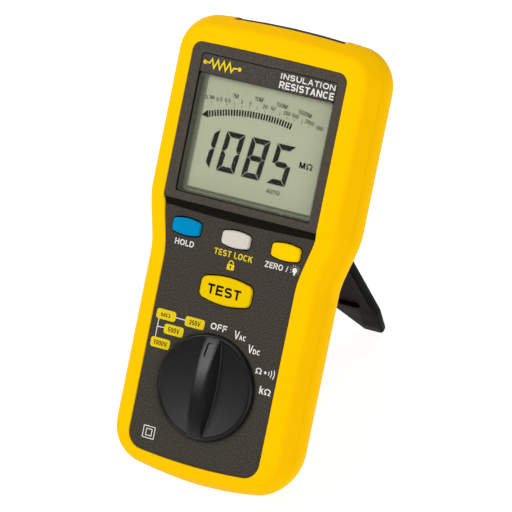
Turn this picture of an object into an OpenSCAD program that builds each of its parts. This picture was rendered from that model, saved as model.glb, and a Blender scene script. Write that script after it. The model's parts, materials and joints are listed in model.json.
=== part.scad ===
// Handheld insulation resistance tester, standing on its opened tilt stand.
// Body frame: X across, Y up the length of the face, Z out of the face, keypad face at Z = 0.
// stood() turns the body frame onto the table: +Z up, face towards -Y, origin under the middle.

/* [Case] */
// Overall length of the case
case_l = 211; // [205:1:217]
// Half width of the dark face in the grip
grip_w = 33.9; // [32:0.1:35]
// Half width of the dark face at the display
head_w = 39.2; // [38:0.1:40]
// Depth from the keypad face to the back
case_d = 53.5; // [52:0.5:56]
// Wall thickness of the two shells
wall = 2.6; // [2.2:0.1:3]
// Depth of the parting line below the keypad face
parting_d = 8.4; // [8:0.1:9]

/* [Display] */
// Height of the display bezel above the keypad face
bezel_h = 2.5; // [2.4:0.1:3.5]
// Half width of the window
window_w = 34.5; // [33:0.1:35]
// Lower edge of the window
window_y0 = 128.6; // [128:0.1:130]
// Upper edge of the window
window_y1 = 192.3; // [191:0.1:193]

/* [Selector] */
// Height of the knob's centre up the face
knob_y = 45.3; // [44:0.1:47]
// Radius of the knob
knob_r = 24.5; // [23:0.1:25]
// Height of the grip bar above the keypad face
bar_h = 7.6; // [6:0.1:8]
// Radius of the selector shaft
shaft_r = 3; // [2.8:0.1:3.2]

/* [Buttons] */
// Height of the row of three buttons up the face
keys_y = 113.6; // [113:0.1:114]
// Distance from the middle button to its neighbours
keys_pitch = 25.4; // [25:0.1:26]
// Height of the test button up the face
test_y = 89.6; // [88:0.1:91]
// Travel of every button
key_travel = 1; // [0.8:0.1:1]

/* [Stand] */
// Half width of the stand
stand_w = 33.5; // [32:0.1:34]
// Length of the stand from its hinge to its feet
stand_l = 70.5; // [66:0.1:71]
// Thickness of the stand
stand_t = 4; // [3.5:0.1:4]
// Angle that the stand opens to, from the back of the case
stand_open = 60; // [58:1:62]
// Height of the stand's hinge up the case
hinge_y = 111.5; // [111:0.5:112]
// Radius of the hinge pin
pin_r = 1.5; // [1.4:0.1:1.6]

/* [Sockets] */
// Radius of the 4 mm socket bores
socket_r = 2; // [2:0.01:2.05]
// Distance between neighbouring sockets
socket_pitch = 19; // [18.5:0.5:19]

/* [Hidden] */

gap = 0.3;
run_gap = 0.05;
face_y0 = 8.9;
face_y1 = 197;
waist_y0 = 97;
waist_y1 = 128;
step_y = 121.5;
step_run = 4;
step_flat = 0.25;
lift_y = 120.5;
lift_run = 7;
side_y = [60, waist_y0, 103, 109, 115, 120.5, 123, 125.5, waist_y1, 150];
panel_t = 2.5;
board_z = -9.6;
board_t = 1.6;
hinge_z = 2.5 - case_d;
recess_z = 4.8 - case_d;
button_top = 1.6;
flange_t = 1.2;
stem_end = -panel_t - gap - flange_t - 0.6;
switch_top = stem_end - key_travel - 0.3;
steps = 6;

// Case rings from the face to the back: depth, and how far the sides, top and bottom stand
// outside the edge of the dark face, then the radii of the top and bottom corners.
lip = [0.5, 0.8, 0.8, 0.5, 5, 8.5];
brow = [-0.1, 4.7, 4.9, 3.1, 8.5, 11.5];
cheek = [-3.7, 8.9, 9.2, 6, 12.5, 16];
seam = [-parting_d, 12.2, 12.6, 8.3, 16, 20.5];
belly = [-13.9, 13.8, 14, 9.3, 17.5, 23];
flank = [-18.5, 13, 13.4, 9.2, 17.5, 23];
heel = [-46, 0.2, 6.5, 6.5, 13, 16];
chamfer = [-50.5, -2.2, 4.2, 4.2, 11, 13];
back = [-case_d, -6.7, 0, 0.5, 8, 10];

function smooth(t) = let (u = max(0, min(1, t))) u * u * (3 - 2 * u);
function head_share(y) = smooth((y - waist_y0) / (waist_y1 - waist_y0));
function arc(cx, cy, r, a0, a1) = [for (i = [0:steps]) let (a = a0 + (a1 - a0) * i / steps)
    [cx + r * cos(a), cy + r * sin(a)]];

// Right half of an outline, from the bottom centre to the top centre
function half_outline(wg, wh, y0, y1, crown0, crown1, r0, r1) = concat(
    [for (i = [0:3]) let (t = i / 4) [t * (wg - r0), y0 + crown0 * t * t]],
    arc(wg - r0, y0 + crown0 + r0, r0, -90, 0),
    [for (y = side_y) [wg + (wh - wg) * head_share(y), y]],
    arc(wh - r1, y1 - crown1 - r1, r1, 0, 90),
    [for (i = [3:-1:0]) let (t = i / 4) [t * (wh - r1), y1 - crown1 * t * t]]);

function mirrored(half) = concat(half, [for (i = [len(half) - 2:-1:1]) [-half[i].x, half[i].y]]);

// Outline of the case at one ring, grown by a margin
function case_outline(ring, margin = 0) = mirrored(half_outline(
    grip_w + ring[1] + margin, head_w + ring[1] + margin,
    face_y0 - ring[3] - margin, face_y1 + ring[2] + margin,
    1.3 + max(0, ring[3]) * 0.2, 0.4 + ring[2] * 0.09, ring[5] + margin, ring[4] + margin));

// The front edge of the case rises from the keypad face to the display bezel
function lifted(outline, z, lift) =
    [for (p = outline) [p.x, p.y, z + lift * smooth((p.y - lift_y) / lift_run)]];
function level(outline, z) = [for (p = outline) [p.x, p.y, z]];

module loft(rings, closed = false) {
    n = len(rings[0]);
    m = len(rings);
    last = closed ? m - 1 : m - 2;
    points = [for (r = rings) each r];
    sides = [for (k = [0:last], i = [0:n - 1]) let (a = k * n, b = ((k + 1) % m) * n, j = (i + 1) % n)
        each [[a + i, a + j, b + i], [a + j, b + j, b + i]]];
    caps = closed ? [] : [[for (i = [n - 1:-1:0]) i], [for (i = [0:n - 1]) (m - 1) * n + i]];
    polyhedron(points, concat(sides, caps));
}

// The tilt that puts the stand's feet and the lower back edge of the case on the table
stand_dir = [-cos(stand_open), -sin(stand_open)];
stand_out = [sin(stand_open), -cos(stand_open)];
foot_tip = [hinge_y, hinge_z] + stand_dir * stand_l - stand_out * stand_t / 2;
heel_tip = [face_y0 - heel[3], heel[0]];
chamfer_tip = [face_y0 - chamfer[3], chamfer[0]];
foot_slope = atan2(chamfer_tip.y - foot_tip.y, foot_tip.x - chamfer_tip.x);
heel_slope = atan2(heel_tip.y - foot_tip.y, foot_tip.x - heel_tip.x);
tilt = min(foot_slope, heel_slope);

// Table frame: height and depth of a body point (y, z)
function table_y(p) = p.x * cos(tilt) - p.y * sin(tilt);
function table_z(p) = p.x * sin(tilt) + p.y * cos(tilt);
case_rings = [brow, cheek, seam, belly, flank, heel, chamfer, back];
front_y = min([for (r = case_rings) table_y([face_y0 - r[3], r[0]])]);
rear_y = max([for (r = case_rings) table_y([face_y1 + r[2], r[0]])]);
origin_y = (front_y + rear_y) / 2;
origin_z = table_z(foot_tip);

module stood() {
    translate([0, -origin_y, -origin_z]) rotate([tilt, 0, 0]) children();
}

// Button outline with crowned long edges
function button_outline(w, h, crown, r, grow = 0) = let (
    half = [for (i = [0:4]) let (t = i / 4) [t * (w / 2 - r), -h / 2 - crown * (1 - t * t) - grow]],
    corner = arc(w / 2 - r, -h / 2 + r, r + grow, -90, 0),
    lower = concat(half, corner),
    right = concat(lower, [for (i = [len(lower) - 1:-1:0]) [lower[i].x, -lower[i].y]]))
    concat(right, [for (i = [len(right) - 2:-1:1]) [-right[i].x, right[i].y]]);

small_key = [13.8, 6.5, 0.6, 1.3];
test_key = [25.4, 10.2, 1.2, 2.6];
key_places = [[-keys_pitch, keys_y, small_key], [0.3, keys_y - 0.2, small_key],
    [keys_pitch + 0.4, keys_y - 0.1, small_key], [0.5, test_y, test_key]];

module key_shape(key, grow = 0) {
    polygon(button_outline(key[0], key[1], key[2], key[3], grow));
}

// Screw places on the face: two in the display bezel and two in the keypad panel
head_screws = [[-30, 189], [30, 189]];
grip_screws = [[-23, 16], [23, 16]];
screw_places = concat(head_screws, grip_screws);
pillar_end = -17;
pillar_r = 3.6;
screw_r = 1.5;
head_r = 2.8;
screw_seat = -31;

module at_each(places) {
    for (p = places) translate([p.x, p.y, 0]) children();
}

module front_shell() {
    inner_lip = case_outline([0, 0.1, 0.1, 0.1, 4.5, 8]);
    color("gold") stood() loft([
        lifted(inner_lip, -1.4, bezel_h - 0.5),
        lifted(inner_lip, 0.5, bezel_h - 0.3),
        lifted(case_outline(lip), 0.5, bezel_h - 0.3),
        lifted(case_outline(brow), brow[0], 0.3),
        level(case_outline(cheek), cheek[0]),
        level(case_outline(seam), seam[0]),
        level(case_outline(seam, -wall), seam[0]),
        level(case_outline(cheek, -wall), cheek[0] - 1.2),
        lifted(case_outline([0, 1.9, 1.9, 1.9, 5, 8]), -3.6, 1)], closed = true);
}

module rear_body() {
    cavity = [seam, belly, flank, heel, chamfer];
    outer = [seam, belly, flank, heel, chamfer, back];
    difference() {
        loft([for (r = outer) level(case_outline(r), r[0])]);
        loft(concat([level(case_outline(seam, -wall), 1 - parting_d)],
            [for (r = cavity) level(case_outline(r, -wall), r[0] + (r == chamfer ? 0 : 0.1))]));
    }
}

holder_x = 25;
holder_y0 = 40.5;
holder_y1 = 97.5;
cover_x = 23.5;
cover_y0 = 42;
cover_y1 = 104.5;
cover_screw_y = cover_y1 - 3.5;
cover_t = 2;
knuckle_r = 3;
knuckle_x = 14;
channel_r = 3.6;

module slab(x0, x1, y0, y1, z0, z1) {
    translate([x0, y0, z0]) cube([x1 - x0, y1 - y0, z1 - z0]);
}

module along_x(x0, x1, y, z, r, facets = 48) {
    translate([x0, y, z]) rotate([0, 90, 0]) cylinder(r = r, h = x1 - x0, $fn = facets);
}

module along_y(x, y0, y1, z, r) {
    translate([x, y0, z]) rotate([-90, 0, 0]) cylinder(r = r, h = y1 - y0, $fn = 48);
}

socket_z = -27;
socket_places = [-socket_pitch, 0, socket_pitch];
terminal_w = 28.2;
terminal_y0 = 197;
terminal_t = 6;
terminal_z0 = -43;
terminal_z1 = -9.6;
recess_y0 = 38;
recess_y1 = hinge_y + channel_r;

// A slice of the case between two heights up the body, kept inside the tapering back
module inner_slice(y0, y1, z0, z1) {
    intersection() {
        translate([0, 0, z0]) linear_extrude(z1 - z0) polygon(case_outline(chamfer, 0.6));
        slab(-60, 60, y0, y1, z0 - 1, z1 + 1);
    }
}

module seal_ring(margin) {
    difference() {
        translate([0, 0, -parting_d - 1]) linear_extrude(1) polygon(case_outline(seam, margin - 0.95));
        translate([0, 0, -parting_d - 2]) linear_extrude(3) polygon(case_outline(seam, -margin - 1.75));
    }
}

module rear_block() {
    difference() {
        union() {
            rear_body();
            inner_slice(recess_y0 - wall, recess_y1 + wall, recess_z, recess_z + wall);
            inner_slice(recess_y0 - wall, recess_y0, 1 - case_d, recess_z + 1);
            inner_slice(recess_y1, recess_y1 + wall, 1 - case_d, recess_z + 1);
            at_each(screw_places) translate([0, 0, 1.5 - case_d])
                cylinder(r = pillar_r, h = case_d - 1.5 + pillar_end, $fn = 40);
            translate([0, cover_screw_y, recess_z]) cylinder(r = 3.4, h = 9, $fn = 40);
        }
        slab(-60, 60, recess_y0, recess_y1, -case_d - 10, recess_z);
        for (side = [-1, 1]) along_x(side > 0 ? knuckle_x - gap : -60, side > 0 ? 60 : gap - knuckle_x,
            hinge_y, hinge_z, channel_r);
        slab(-cover_x - 0.2, cover_x + 0.2, cover_y0 - 0.2, cover_y1 + 0.2, recess_z - 1, recess_z + cover_t + 0.1);
        slab(-cover_x + 1.5, cover_x - 1.5, cover_y0 + 1.5, cover_y1 - 7.5, recess_z, recess_z + wall + 1);
        translate([0, cover_screw_y, recess_z - 1]) cylinder(r = screw_r + 0.1, h = 8.5, $fn = 40);
        at_each(screw_places) translate([0, 0, -case_d - 1]) {
            cylinder(r = screw_r + 0.15, h = case_d + 2 + pillar_end, $fn = 40);
            cylinder(r = head_r + 0.3, h = case_d + 1 + screw_seat, $fn = 40);
        }
        slab(-terminal_w, terminal_w, terminal_y0, case_l + 2, terminal_z0, terminal_z1);
        seal_ring(0.05);
    }
}

module rear_shell() {
    color("goldenrod") stood() difference() {
        union() {
            rear_block();
            along_x(-knuckle_x + gap, knuckle_x - gap, hinge_y, hinge_z, knuckle_r);
            slab(-knuckle_x + gap, knuckle_x - gap, hinge_y - knuckle_r + 0.6, hinge_y + knuckle_r - 0.6,
                hinge_z, recess_z + wall);
        }
        along_x(-knuckle_x, knuckle_x, hinge_y, hinge_z, pin_r);
    }
}

module case_seal() {
    color("dimgray") stood() seal_ring(0);
}

module face_plate(y0, y1, z0, z1, inset) {
    intersection() {
        translate([0, 0, z0]) linear_extrude(z1 - z0) polygon(case_outline([0, 0, 0, 0, 4.5, 8], -inset));
        slab(-60, 60, y0, y1, z0 - 1, z1 + 1);
    }
}

knob_well_r = shaft_r + run_gap;

module keypad_panel() {
    color("darkslategray") stood() difference() {
        union() {
            face_plate(0, step_y + 0.3, -panel_t, 0, 0.05);
            translate([0, knob_y, -5.2]) cylinder(r = 5.5, h = 5, $fn = 48);
            at_each(grip_screws) translate([0, 0, pillar_end]) cylinder(r = pillar_r, h = -pillar_end - 1, $fn = 40);
        }
        translate([0, knob_y, -20]) cylinder(r = knob_well_r, h = 30, $fn = 64);
        for (k = key_places) translate([k[0], k[1], -10]) linear_extrude(20) key_shape(k[2], gap);
        at_each(grip_screws) translate([0, 0, pillar_end - 1]) cylinder(r = 1.25, h = 11, $fn = 32);
    }
}

module display_bezel() {
    color("darkslategray") stood() difference() {
        union() {
            face_plate(step_y + 0.3 + step_run, 220, -2.4, bezel_h, 0.05);
            difference() {
                face_plate(step_y + 0.3, step_y + 0.3 + step_run, -2.4, bezel_h, 0.05);
                translate([-60, step_y + 0.3, 0]) rotate([atan2(bezel_h, step_run - step_flat), 0, 0])
                    cube([120, 20, 10]);
            }
            at_each(head_screws) translate([0, 0, pillar_end]) cylinder(r = pillar_r, h = -pillar_end - 1, $fn = 40);
        }
        slab(-window_w, window_w, window_y0, window_y1, 0.8, 10);
        slab(-window_w + 1.2, window_w - 1.2, window_y0 + 1.2, window_y1 - 8.5, -10, 10);
        at_each(head_screws) translate([0, 0, pillar_end - 1]) cylinder(r = 1.25, h = 11, $fn = 32);
    }
}

module display_window() {
    color("white", 0.3) stood()
        slab(-window_w + 0.1, window_w - 0.1, window_y0 + 0.1, window_y1 - 0.1, 0.85, 2.35);
}

lcd_x = window_w + 0.5;
lcd_y0 = window_y0 - 0.6;
lcd_y1 = 184.6;
lcd_front = -2.5;
lcd_back = -4.6;
backlight_back = -7.2;
strip_x = 25;
strip_t = 2.2;

module lcd_glass() {
    color("darkseagreen") stood() slab(-lcd_x, lcd_x, lcd_y0, lcd_y1, lcd_back, lcd_front);
}

module lcd_backlight() {
    color("whitesmoke") stood() {
        slab(-lcd_x, lcd_x, lcd_y0, lcd_y1, backlight_back, lcd_back - 0.1);
        slab(lcd_x, lcd_x + 2.5, 150, 165, backlight_back, backlight_back + 2);
    }
}

module lcd_connector_strips() {
    color("slategray") stood() for (y = [lcd_y0 - strip_t - 0.4, lcd_y1 + 0.2])
        slab(-strip_x, strip_x, y, y + strip_t, board_z + board_t, lcd_front);
}

module main_board() {
    color("darkgreen") stood() difference() {
        translate([0, 0, board_z]) linear_extrude(board_t)
            polygon(case_outline([0, 0, 0, 0, 4.5, 8], -1.5));
        translate([0, knob_y, board_z - 1]) cylinder(r = shaft_r + 0.6, h = 4, $fn = 48);
        at_each(screw_places) translate([0, 0, board_z - 1]) cylinder(r = pillar_r + 0.2, h = 4, $fn = 40);
    }
}

board2_z = -23;
board2_x = 33;
board2_y0 = 122;
board2_y1 = 183;
spacer_places = [for (y = [board2_y0 + 5, board2_y1 - 5], x = [5 - board2_x, board2_x - 5]) [x, y]];

module measuring_board() {
    color("green") stood() difference() {
        slab(-board2_x, board2_x, board2_y0, board2_y1, board2_z, board2_z + board_t);
        at_each(spacer_places) translate([0, 0, board2_z - 1]) cylinder(r = 1.2, h = 4, $fn = 32);
    }
}

module board_spacers() {
    color("silver") stood() at_each(spacer_places)
        translate([0, 0, board2_z + board_t]) cylinder(r = 2.6, h = board_z - board2_z - board_t, $fn = 6);
}

module button_switches() {
    top = board_z + board_t;
    color("black") stood() for (k = key_places) translate([k[0], k[1], top]) {
        translate([-3, -3, 0]) cube([6, 6, switch_top - top - 0.7]);
        cylinder(r = 1.6, h = switch_top - top, $fn = 32);
    }
}

module ring(r0, r1, z0, z1) {
    translate([0, knob_y, z0]) difference() {
        cylinder(r = r1, h = z1 - z0, $fn = 72);
        translate([0, 0, -1]) cylinder(r = r0, h = z1 - z0 + 2, $fn = 72);
    }
}

module switch_contact_ring() {
    top = board_z + board_t;
    color("goldenrod") stood() for (r = [7, 10.5, 14]) ring(r, r + 1.6, top, top + 0.15);
}

rotor_r = 17;
rotor_z = -6.6;
rotor_t = 1.2;
spring_t = 0.5;
spring_x = rotor_r + 0.6;

module detent_spring() {
    color("silver") stood() {
        slab(spring_x, spring_x + spring_t, knob_y - 9, knob_y + 9, rotor_z - 0.4, rotor_z + 1);
        slab(spring_x, spring_x + 4, knob_y + 9, knob_y + 9 + spring_t, rotor_z - 0.4, rotor_z + 1);
        slab(spring_x + 3, spring_x + 4, knob_y + 8, knob_y + 10.5, board_z + board_t, rotor_z + 1);
    }
}

// Height of the case's top surface at one side distance, inside a ring and between two rings
function ring_top(ring, x) = let (t = x / (head_w + ring[1] - ring[4]))
    face_y1 + ring[2] - (0.4 + ring[2] * 0.09) * t * t;
function between(a, b, x, z) = let (t = (z - a[0]) / (b[0] - a[0]))
    ring_top(a, x) * (1 - t) + ring_top(b, x) * t;

// The terminal panel follows the top of the rear shell, a little below its surface
terminal_sunk = 0.4;
function terminal_section(x) = let (
    z1 = terminal_z1 - 0.1,
    z0 = terminal_z0 + 0.1,
    front = between(seam, belly, x, z1) - terminal_sunk,
    rear = between(flank, heel, x, z0) - terminal_sunk)
    [[x, front, z1], [x, ring_top(belly, x) - terminal_sunk, belly[0]],
        [x, ring_top(flank, x) - terminal_sunk, flank[0]], [x, rear, z0],
        [x, rear - terminal_t, z0], [x, front - terminal_t, z1]];

module terminal_panel() {
    half = terminal_w - 0.1;
    color("darkslategray") stood() difference() {
        union() {
            loft([for (t = [-1:0.5:1]) terminal_section(t * half)]);
            for (x = socket_places) along_y(x, 188, 203, socket_z, 6);
        }
        for (x = socket_places) {
            along_y(x, 192, case_l + 2, socket_z, 4.3);
            along_y(x, 180, 200, socket_z, 2.9);
        }
    }
}

module input_sockets() {
    color("gold") stood() for (x = socket_places) difference() {
        union() {
            along_y(x, 186, 205, socket_z, 2.9);
            along_y(x, 184.4, 187.9, socket_z, 4);
        }
        along_y(x, 187, 206, socket_z, socket_r);
    }
}

core_w = 24;
core_l = 18;
core_h = 19;
winding_l = 26;

// Laminated core with the tape-wound coil standing out at both ends
module hv_transformer() {
    color("orange") stood() translate([-3, 156, board2_z - core_h]) {
        slab(-core_w / 2, core_w / 2, -core_l / 2, core_l / 2, 0, core_h);
        slab(3 - core_w / 2, core_w / 2 - 3, -winding_l / 2, winding_l / 2, 2.5, core_h - 2.5);
    }
}

capacitor_r = 5;
capacitor_l = 14;

module hv_capacitors() {
    color("steelblue") stood() for (y = [138, 152, 166])
        translate([20, y, board2_z - capacitor_l]) cylinder(r = capacitor_r, h = capacitor_l, $fn = 40);
}

relay_h = 11;

module relay() {
    color("whitesmoke") stood() slab(-28, -18, 140, 160, board2_z - relay_h, board2_z);
}

fuse_y = 31;
fuse_z = -17;
fuse_r = 3.15;
fuse_l = 32;
clip_x = 13;
clip_w = 5;

module fuse() {
    color("white") stood() along_x(-fuse_l / 2, fuse_l / 2, fuse_y, fuse_z, fuse_r);
}

module fuse_clips() {
    color("silver") stood() for (side = [-1, 1]) translate([side * clip_x, 0, 0]) difference() {
        slab(-clip_w / 2, clip_w / 2, fuse_y - 4, fuse_y + 4, fuse_z - 1.5, board_z);
        along_x(-clip_w, clip_w, fuse_y, fuse_z, fuse_r);
    }
}

buzzer_y = 20;
buzzer_r = 6;
buzzer_h = 10;

module buzzer() {
    color("black") stood() translate([0, buzzer_y, board_z - buzzer_h]) difference() {
        cylinder(r = buzzer_r, h = buzzer_h, $fn = 48);
        translate([0, 0, -1]) cylinder(r = 1, h = 5, $fn = 24);
    }
}

cell_r = 7.15;
cell_pitch = 14.8;
cell_y0 = holder_y0 + 3.5;
cell_l = 50;
cell_rows = [recess_z + wall + cell_r + 0.4, recess_z + wall + cell_r + 0.4 + cell_pitch];

module battery_holder() {
    top = cell_rows[1] + cell_r + 2.2;
    color("black") stood() difference() {
        slab(-holder_x, holder_x, holder_y0, holder_y1, recess_z + wall + 0.05, top);
        slab(-holder_x + 2, holder_x - 2, holder_y0 + 2, holder_y1 - 2, recess_z, top - 1.8);
    }
}

module battery_cells() {
    color("silver") stood() for (z = cell_rows, i = [-1:1]) {
        flip = (i + (z == cell_rows[0] ? 0 : 1)) % 2 == 0;
        along_y(i * cell_pitch, cell_y0 + (flip ? 0 : 1), cell_y0 + cell_l - (flip ? 1 : 0), z, cell_r);
        along_y(i * cell_pitch, flip ? cell_y0 + cell_l - 1.5 : cell_y0, flip ? cell_y0 + cell_l : cell_y0 + 1.5,
            z, 2.7);
    }
}

module battery_contacts() {
    color("lightgray") stood() for (z = cell_rows, i = [-1:1]) {
        slab(i * cell_pitch - 5, i * cell_pitch + 5, holder_y0 + 2, holder_y0 + 2.5, z - 5, z + 5);
        slab(i * cell_pitch - 5, i * cell_pitch + 5, holder_y1 - 2.5, holder_y1 - 2, z - 5, z + 5);
    }
}

module case_screws() {
    head_z = screw_seat - 2;
    color("silver") stood() at_each(screw_places) difference() {
        union() {
            translate([0, 0, head_z]) cylinder(r = head_r, h = 2, $fn = 40);
            translate([0, 0, head_z + 2]) cylinder(r = screw_r, h = pillar_end - head_z - 2, $fn = 32);
            translate([0, 0, pillar_end - 0.1]) cylinder(r = 1.25, h = 8, $fn = 32);
        }
        slab(-0.4, 0.4, -1.6, 1.6, head_z - 1, head_z + 1.1);
        slab(-1.6, 1.6, -0.4, 0.4, head_z - 1, head_z + 1.1);
    }
}

module stand_hinge_pin() {
    color("silver") stood() along_x(-30, 30, hinge_y, hinge_z, pin_r);
}

// Selector knob: a shallow dish with a raised rim and a waisted grip bar across it
bar_l = 45;
bar_end_w = 7.8;
bar_waist_w = 6.5;
bar_crown_r = 55;
dish_z = 1.2;
rim_z = 2.8;
mark_y = 17;

function bar_width(t) = bar_waist_w / 2 + (bar_end_w - bar_waist_w) / 2 * t * t;
function bar_outline(grow) = let (
    side = [for (i = [-6:6]) [bar_width(i / 6) + grow, i / 6 * bar_l / 2]])
    concat(side, [for (i = [12:-1:0]) [-side[i].x, side[i].y]]);

module selector_knob() {
    color("black") stood() translate([0, knob_y, 0]) difference() {
        union() {
            rotate_extrude($fn = 96) polygon([[0, gap], [knob_r, gap], [knob_r, 1.6], [knob_r - 0.8, rim_z],
                [knob_r - 1.8, rim_z], [knob_r - 3, dish_z], [0, dish_z]]);
            intersection() {
                union() {
                    translate([0, 0, gap]) linear_extrude(bar_h) polygon(bar_outline(0));
                    translate([0, 0, gap]) linear_extrude(2.6) polygon(bar_outline(0.9));
                }
                along_x(-20, 20, 0, bar_h - bar_crown_r, bar_crown_r, 180);
                translate([0, 0, -1]) cylinder(r = knob_r, h = 20, $fn = 96);
            }
        }
        translate([0, 0, bar_h - bar_crown_r]) rotate([-asin(mark_y / bar_crown_r), 0, 0])
            slab(-1.7, 1.7, -3.4, 3.4, bar_crown_r - 0.7, bar_crown_r + 3);
        translate([0, 0, -1]) cylinder(r = shaft_r - 0.6, h = 5.2, $fn = 48);
    }
}

module selector_shaft() {
    color("silver") stood() translate([0, knob_y, -12]) {
        cylinder(r = shaft_r, h = 12 + gap, $fn = 64);
        cylinder(r = shaft_r - 0.6, h = 16, $fn = 48);
    }
}

module switch_rotor() {
    teeth = 18;
    color("ivory") stood() translate([0, knob_y, rotor_z]) difference() {
        cylinder(r = rotor_r, h = rotor_t, $fn = 72);
        translate([0, 0, -1]) cylinder(r = shaft_r, h = rotor_t + 2, $fn = 64);
        for (i = [0:teeth - 1]) rotate(i * 360 / teeth) translate([rotor_r + 0.6, 0, -1])
            cylinder(r = 1.2, h = 4, $fn = 24);
    }
}

module wiper_contacts() {
    color("gold") stood() for (side = [-1, 1])
        slab(side * 11 - 1.5, side * 11 + 1.5, knob_y - 2.5, knob_y + 2.5, board_z + board_t + 0.45, rotor_z);
}

module key_cap(k, name_colour) {
    stem_w = 4;
    color(name_colour) stood() translate([k[0], k[1], 0]) {
        translate([0, 0, -panel_t - gap - flange_t]) linear_extrude(flange_t) key_shape(k[2], 1.4);
        translate([0, 0, -panel_t - gap - 0.1]) linear_extrude(button_top - 0.5 + panel_t + gap + 0.1) key_shape(k[2]);
        translate([0, 0, button_top - 0.55]) linear_extrude(0.55) key_shape(k[2], -0.4);
        translate([-stem_w / 2, -stem_w / 2, stem_end]) cube([stem_w, stem_w, 2]);
    }
}

module hold_button() { key_cap(key_places[0], "deepskyblue"); }
module lock_button() { key_cap(key_places[1], "whitesmoke"); }
module zero_button() { key_cap(key_places[2], "gold"); }
module test_button() { key_cap(key_places[3], "gold"); }

module battery_cover() {
    color("goldenrod") stood() difference() {
        union() {
            slab(-cover_x, cover_x, cover_y0, cover_y1, recess_z, recess_z + cover_t);
            slab(-cover_x + 1.8, cover_x - 1.8, cover_y0 + 1.8, cover_y1 - 7.8, recess_z + 1, recess_z + wall);
        }
        translate([0, cover_screw_y, recess_z - 1]) cylinder(r = screw_r + 0.05, h = 20, $fn = 40);
        translate([0, cover_screw_y, recess_z - 1]) cylinder(r = 2.6, h = 2, $fn = 40);
    }
}

module battery_cover_screw() {
    color("silver") stood() translate([0, cover_screw_y, recess_z + 0.1]) difference() {
        union() {
            cylinder(r = 2.5, h = 0.9, $fn = 40);
            cylinder(r = screw_r, h = 6.5, $fn = 40);
        }
        slab(-3, 3, -0.35, 0.35, -1, 0.4);
    }
}

// Stand in its own frame: hinge axis along X at the origin, plate along -Y, outer face at -Z
arch_w = 20;
arch_top_w = 9;
arch_h = 17.5;
foot_start = 50.5;
foot_in = 3;
foot_x = 25.8;
pad_w = 8.4;
pad_y0 = 2.2 - stand_l;
pad_y1 = pad_y0 + 3;
pocket_x = 26;
pocket_y0 = -46.5;

module stand_plate(t) {
    linear_extrude(t) polygon([[-stand_w, 0], [-stand_w, -foot_start], [-stand_w + foot_in, -stand_l],
        [-arch_w, -stand_l], [-arch_top_w, arch_h - stand_l], [arch_top_w, arch_h - stand_l], [arch_w, -stand_l],
        [stand_w - foot_in, -stand_l], [stand_w, -foot_start], [stand_w, 0]]);
}

module stand_frame() {
    stood() translate([0, hinge_y, hinge_z]) rotate([stand_open, 0, 0]) children();
}

module tilt_stand() {
    color("black") stand_frame() difference() {
        union() {
            difference() {
                translate([0, 0, -stand_t / 2]) stand_plate(stand_t);
                slab(-40, 40, -3.4, 5, -5, 5);
            }
            for (side = [-1, 1]) {
                along_x(side > 0 ? knuckle_x : -30, side > 0 ? 30 : -knuckle_x, 0, 0, knuckle_r);
                slab(side > 0 ? knuckle_x : -30, side > 0 ? 30 : -knuckle_x, -4, -1, -stand_t / 2, stand_t / 2);
            }
        }
        along_x(-40, 40, 0, 0, pin_r + run_gap);
        slab(-pocket_x, pocket_x, pocket_y0, -10, -0.6, 5);
        for (side = [-1, 1]) translate([side * foot_x, 0, 0])
            slab(-pad_w / 2 - 0.1, pad_w / 2 + 0.1, pad_y0 - 0.1, pad_y1 + 0.1, -0.2, 5);
    }
}

module stand_foot_pads() {
    color("dimgray") stand_frame() for (side = [-1, 1]) translate([side * foot_x, 0, 0])
        slab(-pad_w / 2, pad_w / 2, pad_y0, pad_y1, -0.1, stand_t / 2);
}

front_shell();
rear_shell();
case_seal();
keypad_panel();
display_bezel();
display_window();
lcd_glass();
lcd_backlight();
lcd_connector_strips();
main_board();
measuring_board();
board_spacers();
button_switches();
switch_contact_ring();
detent_spring();
terminal_panel();
input_sockets();
hv_transformer();
hv_capacitors();
relay();
fuse();
fuse_clips();
buzzer();
battery_holder();
battery_cells();
battery_contacts();
case_screws();
stand_hinge_pin();
selector_knob();
selector_shaft();
switch_rotor();
wiper_contacts();
hold_button();
lock_button();
zero_button();
test_button();
battery_cover();
battery_cover_screw();
tilt_stand();
stand_foot_pads();
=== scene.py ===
"""Handheld insulation resistance tester: the detailed visual pieces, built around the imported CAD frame."""
import json
import math

import bmesh
import bpy
from mathutils import Matrix, Vector


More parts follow.
